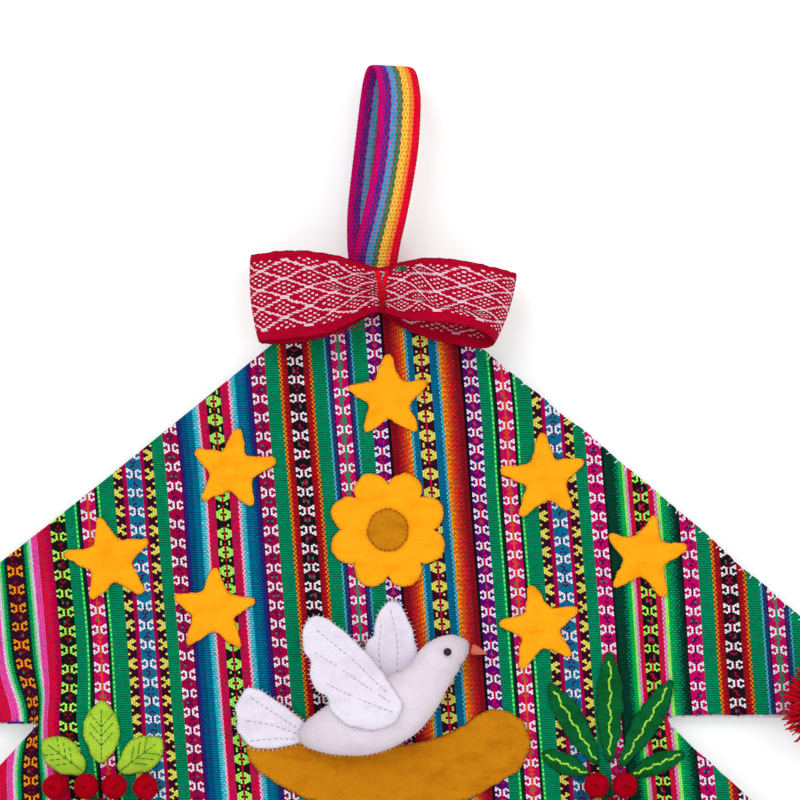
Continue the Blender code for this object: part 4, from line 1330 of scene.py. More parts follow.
def sewing_tree():
    """Geometry Nodes: stitches in a row along every line of the object, each one thread from Start to End."""
    numbers = ("Spacing", "Thickness", "Unevenness")
    tree, taken = new_maker("row of stitches", numbers, ("Start", "Top", "End"))
    line = add(tree, "GeometryNodeMeshToCurve", {"Mesh": taken["Geometry"]})
    marks = add(tree, "GeometryNodeCurveToPoints", {"Curve": line, "Length": taken["Spacing"]}, mode="LENGTH")
    tangent = Value(marks.socket.node.outputs["Tangent"])
    inputs = {0: tangent, 1: (0, -1, 0)}
    along = add(tree, "FunctionNodeAxesToRotation", inputs, primary_axis="X", secondary_axis="Z")
    slant = by_lot(taken["Unevenness"] * -1.0, taken["Unevenness"], taken["Seed"])
    size = by_lot(*STITCH_SIZES, taken["Seed"] + 1)
    stitch = bent_thread(6, taken["Start"], taken["Top"], taken["End"], taken["Thickness"])
    return stand(marks, stitch, along, joined(0, 0, slant), size, taken["Material"])


def made_by(tree, base, **values):
    """The base mesh put through a Geometry Nodes tree with these inputs, as a plain mesh."""
    helper = add_object("helper", base)
    maker = helper.modifiers.new("maker", "NODES")
    maker.node_group = tree
    for socket in tree.interface.items_tree:
        if socket.in_out == "INPUT" and socket.name in values:
            maker[socket.identifier] = values[socket.name]
    return as_mesh(helper)


THREAD_STRANDS = 1500.0
THREAD_SHADES = (0.75, 1.12)


def thread_finish(name, dye):
    material, tree = new_finish(name, 0.8, 0.12)
    strands = cloudy(placed(tree), THREAD_STRANDS, 1.0)
    return dress(material, dye, ranged(strands, *MIDDLE_OF_NOISE, *THREAD_SHADES))


sewing = sewing_tree()
# Each stitch goes from a start over a top to an end, each so far on along the line, out from it and forwards.
OVERCAST = ((-0.1, -1.1, -0.05), (0.1, -0.2, 0.55), (0.25, 0.25, -1.5))


def sewn(name, lines, spacing, stitch, thickness, material, unevenness=0.25, seed=1):
    """A piece of stitches along the lines, each a list of points and whether it closes."""
    points, edges = [], []
    for line, closed in lines:
        start = len(points)
        points += line
        edges += [(start + index, start + index + 1) for index in range(len(line) - 1)]
        if closed:
            edges.append((len(points) - 1, start))
    mesh = bpy.data.meshes.new("sewing_lines")
    mesh.from_pydata(points, edges, [])
    start, top, end = in_metres(stitch)
    mesh = made_by(sewing, mesh, Spacing=spacing, Start=start, Top=top, End=end, Thickness=thickness,
                   Unevenness=unevenness, Seed=seed, Material=material)
    return put_on(name, mesh)


STAR_RADIUS = 22 * MM
STAR_INNER = 0.46
STAR_TIP_HALF_ANGLE = 4.0
STAR_TIP_OFF = 3.5
STAR_TIPS, STAR_NOTCHES = (0.93, 1.05), (0.95, 1.1)
STAR_ROUND = 2.2 * MM
STARS = (
    # x, z, turn
    (-2.5, -164, 3), (-80.5, -200, -8), (76, -204, 6), (-141.5, -245, 12), (126, -243, -10),
    (-89, -270, -4), (73.5, -279, 9),
)


def at_angle(x, z, radius, angle):
    return x + radius * math.cos(angle), z + radius * math.sin(angle)


def star_edge(x, z, turn, cuts):
    """A star cut by eye: no two tips are quite alike."""
    edge = []
    blunt = math.radians(STAR_TIP_HALF_ANGLE)
    for tip in range(5):
        angle = math.radians(90 + turn) - math.tau * tip / 5
        off = math.radians(cuts.uniform(-STAR_TIP_OFF, STAR_TIP_OFF))
        radius = STAR_RADIUS * cuts.uniform(*STAR_TIPS)
        edge += [at_angle(x, z, radius, a) for a in (angle + off + blunt, angle + off - blunt)]
        inner = STAR_RADIUS * STAR_INNER * cuts.uniform(*STAR_NOTCHES)
        edge.append(at_angle(x, z, inner, angle - math.pi / 5))
    return edge


gold_felt = felt_finish("gold_felt", dyed(255, 166, 16))
gold_lines = []
star_cuts = random.Random(21)
for number, (x, z, turn) in enumerate(STARS, 1):
    edge = rounded_outline(star_edge(x * MM, z * MM, turn, star_cuts), STAR_ROUND, CUT_STEP)
    _, line = felt_piece(
        f"felt_star_{number}", f"star_{number}", gold_felt, hand_cut(edge),
        [(x * MM, z * MM)] * len(edge), on_cloth(1), flat=(42 * MM, 42 * MM), area=0.00079)
    gold_lines.append(line)

FLOWER_AT = (-2.5 * MM, -230 * MM)
FLOWER_RADIUS = 30 * MM
FLOWER_PETALS = 8
FLOWER_NOTCH = 0.24
PETAL_ROUND = 0.7
FLOWER_ROUND = 0.6 * MM
FLOWER_STEPS = 160
edge = []
for angle in turns(FLOWER_STEPS):
    dip = 1 - abs(math.sin(FLOWER_PETALS * angle / 2)) ** PETAL_ROUND
    edge.append(at_angle(*FLOWER_AT, FLOWER_RADIUS * (1 - FLOWER_NOTCH * dip), -angle))
edge = rounded_outline(edge, FLOWER_ROUND, CUT_STEP)
flower, line = felt_piece(
    "felt_flower", "flower", gold_felt, hand_cut(edge), [FLOWER_AT] * len(edge), on_cloth(1),
    flat=(60 * MM, 60 * MM), area=0.0023)
gold_lines.append(line)
gold_thread = thread_finish("gold_thread", dyed(232, 136, 14))
sewn("gold_stitches", gold_lines, 1.9 * MM, OVERCAST, 0.22 * MM, gold_thread)

HEART_RADIUS = 10.5 * MM
HEART_STEPS = 50
ochre_felt = felt_finish("ochre_felt", dyed(195, 123, 8))
edge = [at_angle(*FLOWER_AT, HEART_RADIUS, -angle) for angle in turns(HEART_STEPS)]
_, heart_line = felt_piece(
    "felt_flower_heart", "flower_heart", ochre_felt, hand_cut(edge), [FLOWER_AT] * len(edge),
    on_cloth(2), flat=(21 * MM, 21 * MM), area=0.00035)

SWAG_CENTRE = (-2.5 * MM, -265 * MM)
SWAG_RADIUS = 90 * MM
SWAG_HALF_WIDTH = 17 * MM
SWAG_REACH = math.radians(37)
SWAG_STEPS = 100
SWAG_END_STEPS = 24


def on_swag(angle, radius=SWAG_RADIUS):
    return SWAG_CENTRE[0] + radius * math.sin(angle), SWAG_CENTRE[1] - radius * math.cos(angle)


def swag_foot(x, z):
    """The nearest place on the swag's middle line."""
    angle = math.atan2(x - SWAG_CENTRE[0], SWAG_CENTRE[1] - z)
    return on_swag(min(SWAG_REACH, max(-SWAG_REACH, angle)))


def swag_edge():
    """Clockwise round the band: along its upper side, round the right end, back along the lower side."""
    arc = [-SWAG_REACH + 2 * SWAG_REACH * step / SWAG_STEPS for step in range(SWAG_STEPS + 1)]
    edge = []
    for side, angles in ((-1, arc), (1, arc[::-1])):
        edge += [on_swag(a, SWAG_RADIUS + side * SWAG_HALF_WIDTH) for a in angles]
        end = -side * SWAG_REACH
        middle = on_swag(end)
        out = (math.sin(end), -math.cos(end))
        onward = (math.cos(end) * -side, math.sin(end) * -side)
        for step in range(1, SWAG_END_STEPS):
            a = math.pi * step / SWAG_END_STEPS
            way = [side * o * math.cos(a) + on * math.sin(a) for o, on in zip(out, onward)]
            edge.append(tuple(m + SWAG_HALF_WIDTH * w for m, w in zip(middle, way)))
    return edge


drawn = swag_edge()
_, swag_line = felt_piece(
    "felt_swag", "swag", ochre_felt, hand_cut(drawn), [swag_foot(*point) for point in drawn],
    on_cloth(1), flat=(150 * MM, 34 * MM), area=0.00486)
ochre_thread = thread_finish("ochre_thread", dyed(150, 88, 10))
sewn("ochre_stitches", [heart_line, swag_line], 2.6 * MM, OVERCAST, 0.3 * MM, ochre_thread)

# The stuffed bird: a body of brushed white knit filled with wool, its seam overcast along back and belly, and
# wings and a tail of white felt with stitched feathers. The bill is salmon felt and the eye a black bead.
BIRD_BACK = FELT_Y - FELT_STEP - 1.05 * MM
BIRD_LUMP, BIRD_LUMPS = 0.45 * MM, 90
BIRD_FINE_LUMP, BIRD_FINE_LUMPS = 0.2 * MM, 260
SOFT_CUT_STEP = 1.0 * MM
BIRD_BACK_SHARE = 0.7
BIRD_STATIONS = 64
BIRD_SIDES = 40
BIRD_LINE = (
    # x, z, half height, half depth of the body, from the tail to the bill
    (-47, -332, 3.0, 2.6), (-41, -331.5, 8, 6), (-29.5, -329, 13, 10), (-15.5, -325, 16.5, 12.5),
    (-1.5, -319.5, 17, 13), (9.5, -312, 14.5, 11.5), (17, -303.5, 11.5, 10), (22.5, -295.5, 11, 10),
    (29, -290.5, 9.5, 8.5), (35, -289, 6, 5.5), (38, -289, 2.5, 2.5),
)
BIRD_PLACES = spline(BIRD_LINE, 60)
FAR_WING_EDGE = (
    (12.5, -310), (13.5, -295), (9.5, -279), (3.5, -266), (-2.5, -265), (-8.5, -273), (-9.5, -283),
    (-13.5, -285), (-15.5, -295), (-10.5, -310),
)
NEAR_WING_EDGE = (
    (5.5, -315), (-4.5, -300), (-20.5, -283), (-33.5, -273), (-40.5, -272), (-45, -279), (-45, -290),
    (-40, -295), (-42, -302), (-37.5, -310), (-32, -311), (-31.5, -318), (-23.5, -325), (-9.5, -328),
    (1.5, -324),
)
TAIL_EDGE = (
    (-43.5, -326), (-53.5, -318), (-65.5, -310), (-73.5, -308), (-76.5, -314), (-79.5, -318),
    (-77.5, -324), (-78.5, -330), (-74.5, -334), (-70.5, -339), (-60.5, -339), (-48.5, -337), (-42.5, -334),
)
WING_LEAVES, WING_DOWN = 0.8, 1.9
WING_AIR, WING_END_AIR = 0.8 * MM, 5.0 * MM
SEAM_DRAWN_IN, SEAM_SHARP = 0.35 * MM, 24
KNIT_ROUND = 80


def bird_front(x, z):
    """The nearest place on the bird's middle line: distance by half height, and the half depth there."""
    places = [
        (math.hypot(x - line_x * MM, z - line_z * MM) / (half_height * MM), half_depth * MM)
        for line_x, line_z, half_height, half_depth in BIRD_PLACES
    ]
    return min(places, key=lambda place: place[0])


def near_wing_depth(x, z):
    """The near wing lies over the swell of the body, then falls back towards the cloth as it leaves it."""
    far, half_depth = bird_front(x, z)
    inside = min(far, WING_LEAVES)
    swell = half_depth * (BIRD_BACK_SHARE + math.sqrt(1 - inside * inside)) + WING_AIR
    leave = smooth_step(WING_LEAVES, WING_DOWN, far)
    return BIRD_BACK - swell * (1 - leave) - WING_END_AIR * leave - FELT_THICK / 2 + hang(x, z)


build = bmesh.new()
knit_map = build.loops.layers.uv.new("edge")
rings, along = [], [0.0]
line = spline(BIRD_LINE, BIRD_STATIONS)
for index, (x, z, half_height, half_depth) in enumerate(line):
    before, after = line[max(index - 1, 0)], line[min(index + 1, len(line) - 1)]
    onward = Vector((after[0] - before[0], 0, after[1] - before[1])).normalized()
    across = Vector((-onward.z, 0, onward.x))
    back = BIRD_BACK + hang(x * MM, z * MM)
    middle = Vector((x * MM, back - half_depth * MM * BIRD_BACK_SHARE, z * MM))
    ring = []
    for angle in turns(BIRD_SIDES):
        point = middle + across * math.cos(angle) * half_height * MM
        point.y -= math.sin(angle) * half_depth * MM
        lumps = BIRD_LUMP * noise.noise(point * BIRD_LUMPS)
        lumps += BIRD_FINE_LUMP * noise.noise(point * BIRD_FINE_LUMPS)
        draw_in = SEAM_DRAWN_IN * max(0.0, abs(math.cos(angle)) ** SEAM_SHARP)
        point += (point - middle).normalized() * (lumps - draw_in)
        point.y = min(point.y, BIRD_BACK + hang(point.x, point.z))
        ring.append(build.verts.new(point))
    rings.append(ring)
    if index:
        along.append(along[-1] + math.hypot(x - line[index - 1][0], z - line[index - 1][1]))
seams = [([tuple(ring[side].co) for ring in rings[2:-3]], False) for side in (0, BIRD_SIDES // 2)]


def knit_place(loop, row, side):
    loop[knit_map].uv = (side / BIRD_SIDES * KNIT_ROUND, along[row])


skin(build, rings, ringed=True, mark=knit_place)
build.faces.new(rings[0])
build.faces.new(rings[-1])
body_mesh = mesh_from(build, "bird_body", outward=True)

WALE = 0.85
COURSE = 0.8
COURSE_SLANT = 0.35
KNIT_SHADES = (0.84, 1.02)
KNIT_RELIEF = 0.25 * MM
AWAY_FROM_EDGE = (0, 9, 0)
brushed_knit, tree = new_finish("brushed_knit", 0.95, sheen=0.2)
wales, courses, _ = split(mapped(tree, "edge"))
wale = humps(wales / WALE)
lean = abs(maths("COSINE", wales * (math.pi / WALE)))
course = maths("SINE", (courses + lean * COURSE_SLANT) * (math.tau / COURSE))
stitch = wale * (course * 0.3 + 0.7)
nap = use(tree, felt_nap, Place=placed(tree), Edge=AWAY_FROM_EDGE, Mottle=0.12)
shade = nap["Shade"] * ranged(stitch, 0, 1, *KNIT_SHADES)
dress(brushed_knit, dyed(243, 230, 243), shade, nap["Height"] * 0.4 + stitch, KNIT_RELIEF)
body = put_on("stuffed_body", body_mesh, ["bird_body"], brushed_knit)

white_felt = felt_finish("white_felt", dyed(227, 220, 234), mottle=0.14)
white_lines = []
for name, node, outline, centre, depth, flat, area in (
    ("far_wing", "bird_wing_far", FAR_WING_EDGE, (-1, -292), on_cloth(2), (30, 46), 0.00098),
    ("near_wing", "bird_wing_near", NEAR_WING_EDGE, (-21, -302), near_wing_depth, (52, 58), 0.00176),
    ("tail", "bird_tail", TAIL_EDGE, (-62, -325), on_cloth(2), (38, 32), 0.00082),
):
    edge = hand_cut(rounded_outline(in_metres(outline), CUT_CORNER, SOFT_CUT_STEP), CUT_WAVER / 2)
    _, line = felt_piece(
        f"felt_{name}", node, white_felt, edge, in_metres([centre]) * len(edge), depth,
        flat=in_metres([flat])[0], area=area)
    white_lines.append(line)
white_thread = thread_finish("white_thread", dyed(225, 220, 226))
sewn("white_stitches", white_lines + seams, 2.3 * MM, OVERCAST, 0.3 * MM, white_thread)

FEATHERS = (
    # each quill line (x, z) and whether it is on the near wing
    ((-1, -318), (-17, -312), (-32, -306), True), ((-2, -313), (-20, -302), (-38, -291), True),
    ((-4, -308), (-20, -294), (-37, -280), True),
    ((-6, -301), (-7, -290), (-6, -278), False), ((2, -300), (2, -285), (-1, -271), False),
    ((-49, -328), (-61, -320), (-70, -314), False), ((-49, -331), (-61, -327), (-72, -325), False),
    ((-50, -334), (-61, -334), (-70, -335), False),
)
RUNNING = ((-0.95, 0, -0.15), (0, 0, 0.6), (0.95, 0, -0.15))


def on_felt(points, depth):
    """Points (x, z) laid on the face of felt whose middle plane is given."""
    return [(x, depth(x, z) - FELT_THICK / 2 - FELT_PUFF, z) for x, z in points]


feather_lines = []
for *points, near in FEATHERS:
    quill = in_metres(spline(points, 30))
    feather_lines.append((on_felt(quill, near_wing_depth if near else on_cloth(2)), False))
grey_thread = thread_finish("grey_thread", dyed(178, 170, 186))
sewn("feather_stitches", feather_lines, 2.7 * MM, RUNNING, 0.34 * MM, grey_thread, 0.12)

BILL_ROOT = (38.9 * MM, -289 * MM)
BILL_TIP = (47 * MM, -291.5 * MM)
BILL_OUT = 3.4 * MM
BILL_RADIUS = 2.6 * MM
BILL_FLAT = 0.85
BILL_SIDES = 20
BILL_SECTIONS = ((0, 0.0), (0.02, 0.7), (0.08, 1.0), (0.35, 0.86), (0.7, 0.5), (0.93, 0.22), (1.0, 0.05))
bill_y = BIRD_BACK + hang(*BILL_ROOT) - BILL_OUT
root = Vector((BILL_ROOT[0], bill_y, BILL_ROOT[1]))
bill_way = Vector((BILL_TIP[0], bill_y, BILL_TIP[1])) - root
bill_up = Vector((-bill_way.z, 0, bill_way.x)).normalized()
build = bmesh.new()
build.loops.layers.uv.new("edge")
rings = []
for share, size in BILL_SECTIONS:
    ring = []
    for angle in turns(BILL_SIDES):
        out = bill_up * math.cos(angle) + Vector((0, BILL_FLAT, 0)) * math.sin(angle)
        ring.append(build.verts.new(root + bill_way * share + out * BILL_RADIUS * size))
    rings.append(ring)
skin(build, rings, ringed=True)
build.faces.new(rings[-1])
bmesh.ops.remove_doubles(build, verts=build.verts, dist=WELD)
bill_mesh = mesh_from(build, "bill", outward=True)
put_on("felt_bill", bill_mesh, ["bird_bill"], felt_finish("salmon_felt", dyed(235, 125, 110)))

EYE_AT = (27 * MM, -289.5 * MM)
EYE_RADIUS = 2.0 * MM
EYE_SUNK = 0.6 * MM
far, half_depth = bird_front(*EYE_AT)
eye_y = BIRD_BACK + hang(*EYE_AT) - half_depth * (BIRD_BACK_SHARE + math.sqrt(1 - far * far)) - EYE_RADIUS


def round_shape(sides, rings, radius):
    """A closed ball of rings with a point at each pole, whose corners always come in the same order."""
    build = bmesh.new()
    build.loops.layers.uv.new("edge")
    top, bottom = build.verts.new((0, 0, radius)), build.verts.new((0, 0, -radius))
    lines = []
    for down in (math.pi * number / rings for number in range(1, rings)):
        line = []
        for angle in turns(sides):
            out = Vector((math.cos(angle) * math.sin(down), math.sin(angle) * math.sin(down), math.cos(down)))
            line.append(build.verts.new(out * radius))
        lines.append(line)
    for side in range(sides):
        after = (side + 1) % sides
        build.faces.new((top, lines[0][side], lines[0][after]))
        for upper, lower in zip(lines, lines[1:]):
            build.faces.new((upper[side], lower[side], lower[after], upper[after]))
        build.faces.new((lines[-1][side], bottom, lines[-1][after]))
    return build


build = round_shape(28, 18, EYE_RADIUS)
bmesh.ops.translate(build, verts=build.verts, vec=(EYE_AT[0], eye_y + EYE_SUNK, EYE_AT[1]))
black_bead, tree = new_finish("black_bead", 0.12)
dress(black_bead, dyed(28, 26, 30), ranged(cloudy(placed(tree), 900.0), *MIDDLE_OF_NOISE, 0.7, 1.3))
put_on("eye_bead", mesh_from(build, "eye"), ["bird_eye"], black_bead)

# The two sprays of felt leaves: three round lime ones with green stitched veins, and a fan of five long
# dark-green ones, each with a line of lime yarn laid on it and tied down along its middle.
LEAF_ROOT_AIR = 11 * MM
ROUND_SPRAY = ((143, 26, 9), (90, 31, 9.5), (37, 27, 9))
ROUND_SPRAY_ROOT = (-145.5, -357)
LONG_SPRAY = ((156, 27, 5.5), (121, 48, 6.8), (90, 56, 7), (59, 50, 6.8), (23, 30, 5.5))
LONG_SPRAY_ROOT = (108.5, -357)
LEAF_SHAPE = (
    # share of the length, share of the half width
    (0.0, 0.24), (0.12, 0.5), (0.3, 0.82), (0.5, 1.0), (0.7, 0.88), (0.86, 0.56), (0.96, 0.26),
)
LEAF_FILLS = 0.72
SHEET_LEAST = 10.1 * MM
# Lines along a leaf are shares of its length (start, reach) and of its half width.
VEIN, VEIN_STEPS = (0.08, 0.74), 20
SIDE_VEINS, SIDE_VEIN, SIDE_VEIN_OUT, SIDE_VEIN_STEPS = (0.3, 0.45, 0.6), 0.17, (0.06, 0.48), 3
YARN, YARN_STEPS = (0.06, 0.84), 30
YARN_WIGGLES = ((0.09, 0.9), (0.05, 2.3))
YARN_RADIUS = 0.55 * MM


def leaf_frame(root, angle):
    """Where a leaf's blunt base lies, the way it points and the way across it."""
    out = Vector(slanted(angle))
    return Vector(root) * MM + out * LEAF_ROOT_AIR, out, Vector((out.y, -out.x))


def leaf_edge(root, angle, length, half_width):
    base, out, across = leaf_frame(root, angle)
    left = [base + (out * length * share - across * half_width * width) * MM for share, width in LEAF_SHAPE]
    right = [base + (out * length * share + across * half_width * width) * MM for share, width in LEAF_SHAPE]
    return [tuple(point) for point in left + [base + out * length * MM] + right[::-1]]


def on_leaf(root, angle, length, half_width, places):
    """Points on the leaf's face, each a share of its length up and a share of its half width across."""
    base, out, across = leaf_frame(root, angle)
    points = [base + (out * length * share + across * half_width * side) * MM for share, side in places]
    return on_felt(points, on_cloth(1))


lime_felt = felt_finish("lime_felt", dyed(165, 200, 55), mottle=0.35)
green_felt = felt_finish("green_felt", dyed(0, 92, 42), mottle=0.45)
spray_lines = {"round": [], "long": []}
vein_lines, side_vein_lines, tie_lines = [], [], []
yarn_build = bmesh.new()
for kind, root, spray, slot, felt in (
    ("round", ROUND_SPRAY_ROOT, ROUND_SPRAY, "lime_felt", lime_felt),
    ("long", LONG_SPRAY_ROOT, LONG_SPRAY, "green_felt", green_felt),
):
    for number, leaf in enumerate(spray, 1):
        edge = hand_cut(rounded_outline(leaf_edge(root, *leaf), CUT_CORNER, SOFT_CUT_STEP))
        base, out, across = leaf_frame(root, leaf[0])
        centre = tuple(base + out * leaf[1] * 0.5 * MM)
        wide, long = 2 * leaf[2] * MM, max(leaf[1] * MM, SHEET_LEAST)
        piece, line = felt_piece(
            f"{kind}_felt_leaf_{number}", f"{kind}_leaf_{number}", felt, edge, [centre] * len(edge),
            on_cloth(1), flat=(max(wide, SHEET_LEAST), long), area=LEAF_FILLS * wide * long)
        spray_lines[kind].append(line)
        if kind == "round":
            vein = [(VEIN[0] + VEIN[1] * step / VEIN_STEPS, 0) for step in range(VEIN_STEPS + 1)]
            vein_lines.append((on_leaf(root, *leaf, vein), False))
            for start in SIDE_VEINS:
                for side in (-1, 1):
                    vein = []
                    for step in range(SIDE_VEIN_STEPS + 1):
                        out_by = SIDE_VEIN_OUT[0] + SIDE_VEIN_OUT[1] * step / SIDE_VEIN_STEPS
                        vein.append((start + SIDE_VEIN * step / SIDE_VEIN_STEPS, side * out_by))
                    side_vein_lines.append((on_leaf(root, *leaf, vein), False))
        else:
            laid = []
            for step in range(YARN_STEPS + 1):
                (most, often), (fine_most, fine_often) = YARN_WIGGLES
                wiggle = most * math.sin(step * often + number) + fine_most * math.sin(step * fine_often)
                laid.append((YARN[0] + YARN[1] * step / YARN_STEPS, wiggle))
            points = [Vector(point) for point in on_leaf(root, *leaf, laid)]
            tube(yarn_build, points, YARN_RADIUS, 8)
            tie_lines.append(([tuple(point) for point in points[2:-2]], False))
lime_thread = thread_finish("lime_thread", dyed(120, 165, 30))
leaf_thread = thread_finish("leaf_thread", dyed(20, 130, 60))
dark_thread = thread_finish("dark_thread", dyed(0, 58, 28))
lime_yarn = thread_finish("lime_yarn", dyed(165, 225, 70))
TIE = ((0, -0.75, -0.1), (0.1, 0, 1.5), (0.2, 0.75, -0.1))
sewn("lime_edge_stitches", spray_lines["round"], 2.4 * MM, OVERCAST, 0.3 * MM, lime_thread)
sewn("green_edge_stitches", spray_lines["long"], 4.4 * MM, OVERCAST, 0.34 * MM, dark_thread)
sewn("leaf_veins", vein_lines + side_vein_lines, 2.1 * MM, RUNNING, 0.42 * MM, leaf_thread, 0.12)
put_on("laid_lime_yarn", mesh_from(yarn_build, "laid_yarn", outward=True), finish=lime_yarn)
sewn("yarn_ties", tie_lines, 4.2 * MM, TIE, 0.26 * MM, leaf_thread)

# The red wool balls among the leaves: carded wool felted into balls, each with a dimple and a crease to one
# side where the needle went in, and a haze of loose fibres.
BALL_RADIUS = 6.5 * MM
BALLS = (
    # x, z, and which way its crease runs, in degrees
    (-152.5, -357, 200), (-138.5, -357, 20), (-145.5, -369.3, 90), (-168, -357.5, 160), (-123, -357.5, 30),
    (101.5, -357, 150), (115.5, -357, -20), (108.5, -369.3, 70), (94, -371, 190), (123, -371, 10),
)
PANEL_FRONT = PANEL_Y - PANEL_THICK / 2
STITCH_AIR = 0.3 * MM
BALL_FULL = 0.97
BALL_LUMP, BALL_LUMPS = 0.045, 2.2
BALL_FINE_LUMP, BALL_FINE_LUMPS = 0.02, 6
CREASE_FROM_Y, CREASE_LONG, CREASE_DEEP, CREASE_WIDE = 0.3, 0.75, 0.2, 0.014
DIMPLE_DEEP, DIMPLE_WIDE = 0.16, 0.05


def wool_ball(x, z, turn):
    """A felted ball at rest on the cloth."""
    middle = Vector((x, PANEL_FRONT + hang(x, z) - STITCH_AIR - BALL_RADIUS, z))
    build = round_shape(40, 26, 1.0)
    bmesh.ops.rotate(build, verts=build.verts, matrix=Matrix.Rotation(math.pi / 2, 3, "X"))
    cos, sin = slanted(turn)
    for vertex in build.verts:
        out = vertex.co.copy()
        crease, dimple = 0, 0
        if out.y < CREASE_FROM_Y:
            along, aside = out.x * cos + out.z * sin, out.z * cos - out.x * sin
            past = along - min(CREASE_LONG, max(0.0, along))
            crease = CREASE_DEEP * math.exp(-(aside ** 2 + past ** 2) / CREASE_WIDE)
            dimple = DIMPLE_DEEP * math.exp(-(along ** 2 + aside ** 2) / DIMPLE_WIDE)
        lumps = BALL_LUMP * noise.noise(out * BALL_LUMPS + Vector((x, 0, z)) * 900)
        lumps += BALL_FINE_LUMP * noise.noise(out * BALL_FINE_LUMPS + Vector((z, 0, x)) * 700)
        vertex.co = middle + out * BALL_RADIUS * (BALL_FULL + lumps - crease - dimple)
        vertex.co.y = min(vertex.co.y, middle.y + BALL_RADIUS)
    return build


def strand_tree():
    """Geometry Nodes: strands that stand on every face of the object, each bent its own way."""
    numbers = ("Density", "Length", "Bend", "Thickness", "Taper", "Lean", "Shortest")
    tree, taken = new_maker("standing strands", numbers)
    bend, length, seed = taken["Bend"], taken["Length"], taken["Seed"]
    inputs = {"Mesh": taken["Geometry"], "Density": taken["Density"], "Seed": seed}
    spots = add(tree, "GeometryNodeDistributePointsOnFaces", inputs, distribute_method="RANDOM")
    normal = Value(spots.socket.node.outputs["Normal"])
    outwards = add(tree, "FunctionNodeAlignRotationToVector", {2: normal}, axis="Z")
    leans = [by_lot(taken["Lean"] * -1.0, taken["Lean"], seed + number) for number in (1, 2)]
    turn = joined(*leans, by_lot(0.0, math.tau, seed + 3))
    size = joined(1.0, 1.0, by_lot(taken["Shortest"], 1.0, seed + 4))
    thinner = 1.0 - add(tree, "GeometryNodeSplineParameter") * taken["Taper"]
    strand = bent_thread(4, (0, 0, 0), joined(bend, 0.0, length * 0.5), joined(0.0, bend * 0.6, length),
                         taken["Thickness"], thinner)
    return stand(spots, strand, outwards, turn, size, taken["Material"])


standing_strands = strand_tree()
red_wool, tree = new_finish("red_wool", 1.0, 0.04)
at = placed(tree)
clumps, fibres = cloudy(at, 420.0, 4.0, 1.2), cloudy(at, 2200.0, 2.0, 2.0)
shade = ranged(clumps, *MIDDLE_OF_NOISE, 0.72, 1.15) * ranged(fibres, *MIDDLE_OF_NOISE, 0.85, 1.12)
dress(red_wool, dyed(188, 0, 26), shade, clumps + fibres, 0.5 * MM)

all_balls = bmesh.new()
for number, (x, z, turn) in enumerate(BALLS, 1):
    ball_mesh = mesh_from(wool_ball(x * MM, z * MM, turn), "ball")
    put_on(f"wool_ball_{number}", ball_mesh, [f"ball_{number}"], red_wool)
    all_balls.from_mesh(ball_mesh)
fuzz_mesh = made_by(
    standing_strands, mesh_from(all_balls, "ball_skin"), Density=130000.0, Length=1.3 * MM, Bend=0.7 * MM,
    Thickness=0.07 * MM, Taper=0.5, Lean=0.9, Shortest=0.3, Seed=5, Material=red_wool)
put_on("ball_fuzz", fuzz_mesh)

# The pompoms at the corners of the upper tier: a bundle of red yarn tied tight in the middle and cut, so that
# its ends stand out all round. The back is pressed flat against the cloth.
POMPOMS = (("left", -252, -317.5), ("right", 217.5, -317.5))
POMPOM_CORE = 10 * MM
POMPOM_RADIUS = 24 * MM
POMPOM_SHAGGY = 2.5 * MM
STRAND_LENGTH = POMPOM_RADIUS - POMPOM_CORE + POMPOM_SHAGGY
red_yarn, tree = new_finish("red_yarn", 0.85, 0.12)
plies = cloudy(placed(tree), 900.0)
wool = mixed(by_thread(tree), dyed(168, 0, 24), dyed(236, 4, 38))
dress(red_yarn, wool, ranged(plies, *MIDDLE_OF_NOISE, 0.75, 1.15))
for number, (name, x, z) in enumerate(POMPOMS):
    x, z = x * MM, z * MM
    rest = PANEL_FRONT + hang(x, z) - STITCH_AIR
    build = bmesh.new()
    bmesh.ops.create_icosphere(build, subdivisions=3, radius=POMPOM_CORE)
    bmesh.ops.translate(build, verts=build.verts, vec=(x, rest - POMPOM_CORE, z))
    heart_mesh = mesh_from(build, "pompom_heart")
    put_on(f"pompom_{name}_middle", heart_mesh, [f"pompom_{name}"], red_yarn)
    strands = made_by(
        standing_strands, heart_mesh.copy(), Density=500000.0, Length=STRAND_LENGTH, Bend=1.5 * MM,
        Thickness=1.75 * MM, Taper=0.62, Lean=0.32, Shortest=0.66, Seed=11 + number, Material=red_yarn)
    for vertex in strands.vertices:
        vertex.co.y = min(vertex.co.y, rest)
    put_on(f"pompom_{name}_strands", strands)

# The stitches round the cloth: white overcasting in small notches down the right slanted edge, plum thread on
# the undersides, and a row of running stitches that holds the lining at the back.
NOTCHED = ((-0.3, -2.1, 0.15), (0, -0.7, 0.9), (0.25, 0.1, -1.6))
OVER_EDGE = ((-0.9, -1.9, -0.1), (0, 0.6, 1.1), (0.9, 0.35, -2.9))
BACK_RUNNING = ((-1.6, 0, 0.1), (0, 0, -0.9), (1.6, 0, 0.1))
UNDERSIDES = (
    ((-262 * MM, -330 * MM), (-178 * MM, -322 * MM)),
    ((139 * MM, -330 * MM), (228 * MM, -318 * MM)),
)
LONG_STITCHES = (((-192.5, -326.3), (-188.5, -326.0), (-184.2, -326.2)), ((136.4, -322.2), (138.4, -322.6)))
LONG_STITCH_RADIUS = 0.55 * MM
BACK_INSET = 6 * MM
BACK_SMOOTHED = 8


def on_front(line, proud=0.0):
    """The line (x, z) laid on the front of the cloth."""
    return [(x, PANEL_FRONT + hang(x, z) - proud, z) for x, z in line]


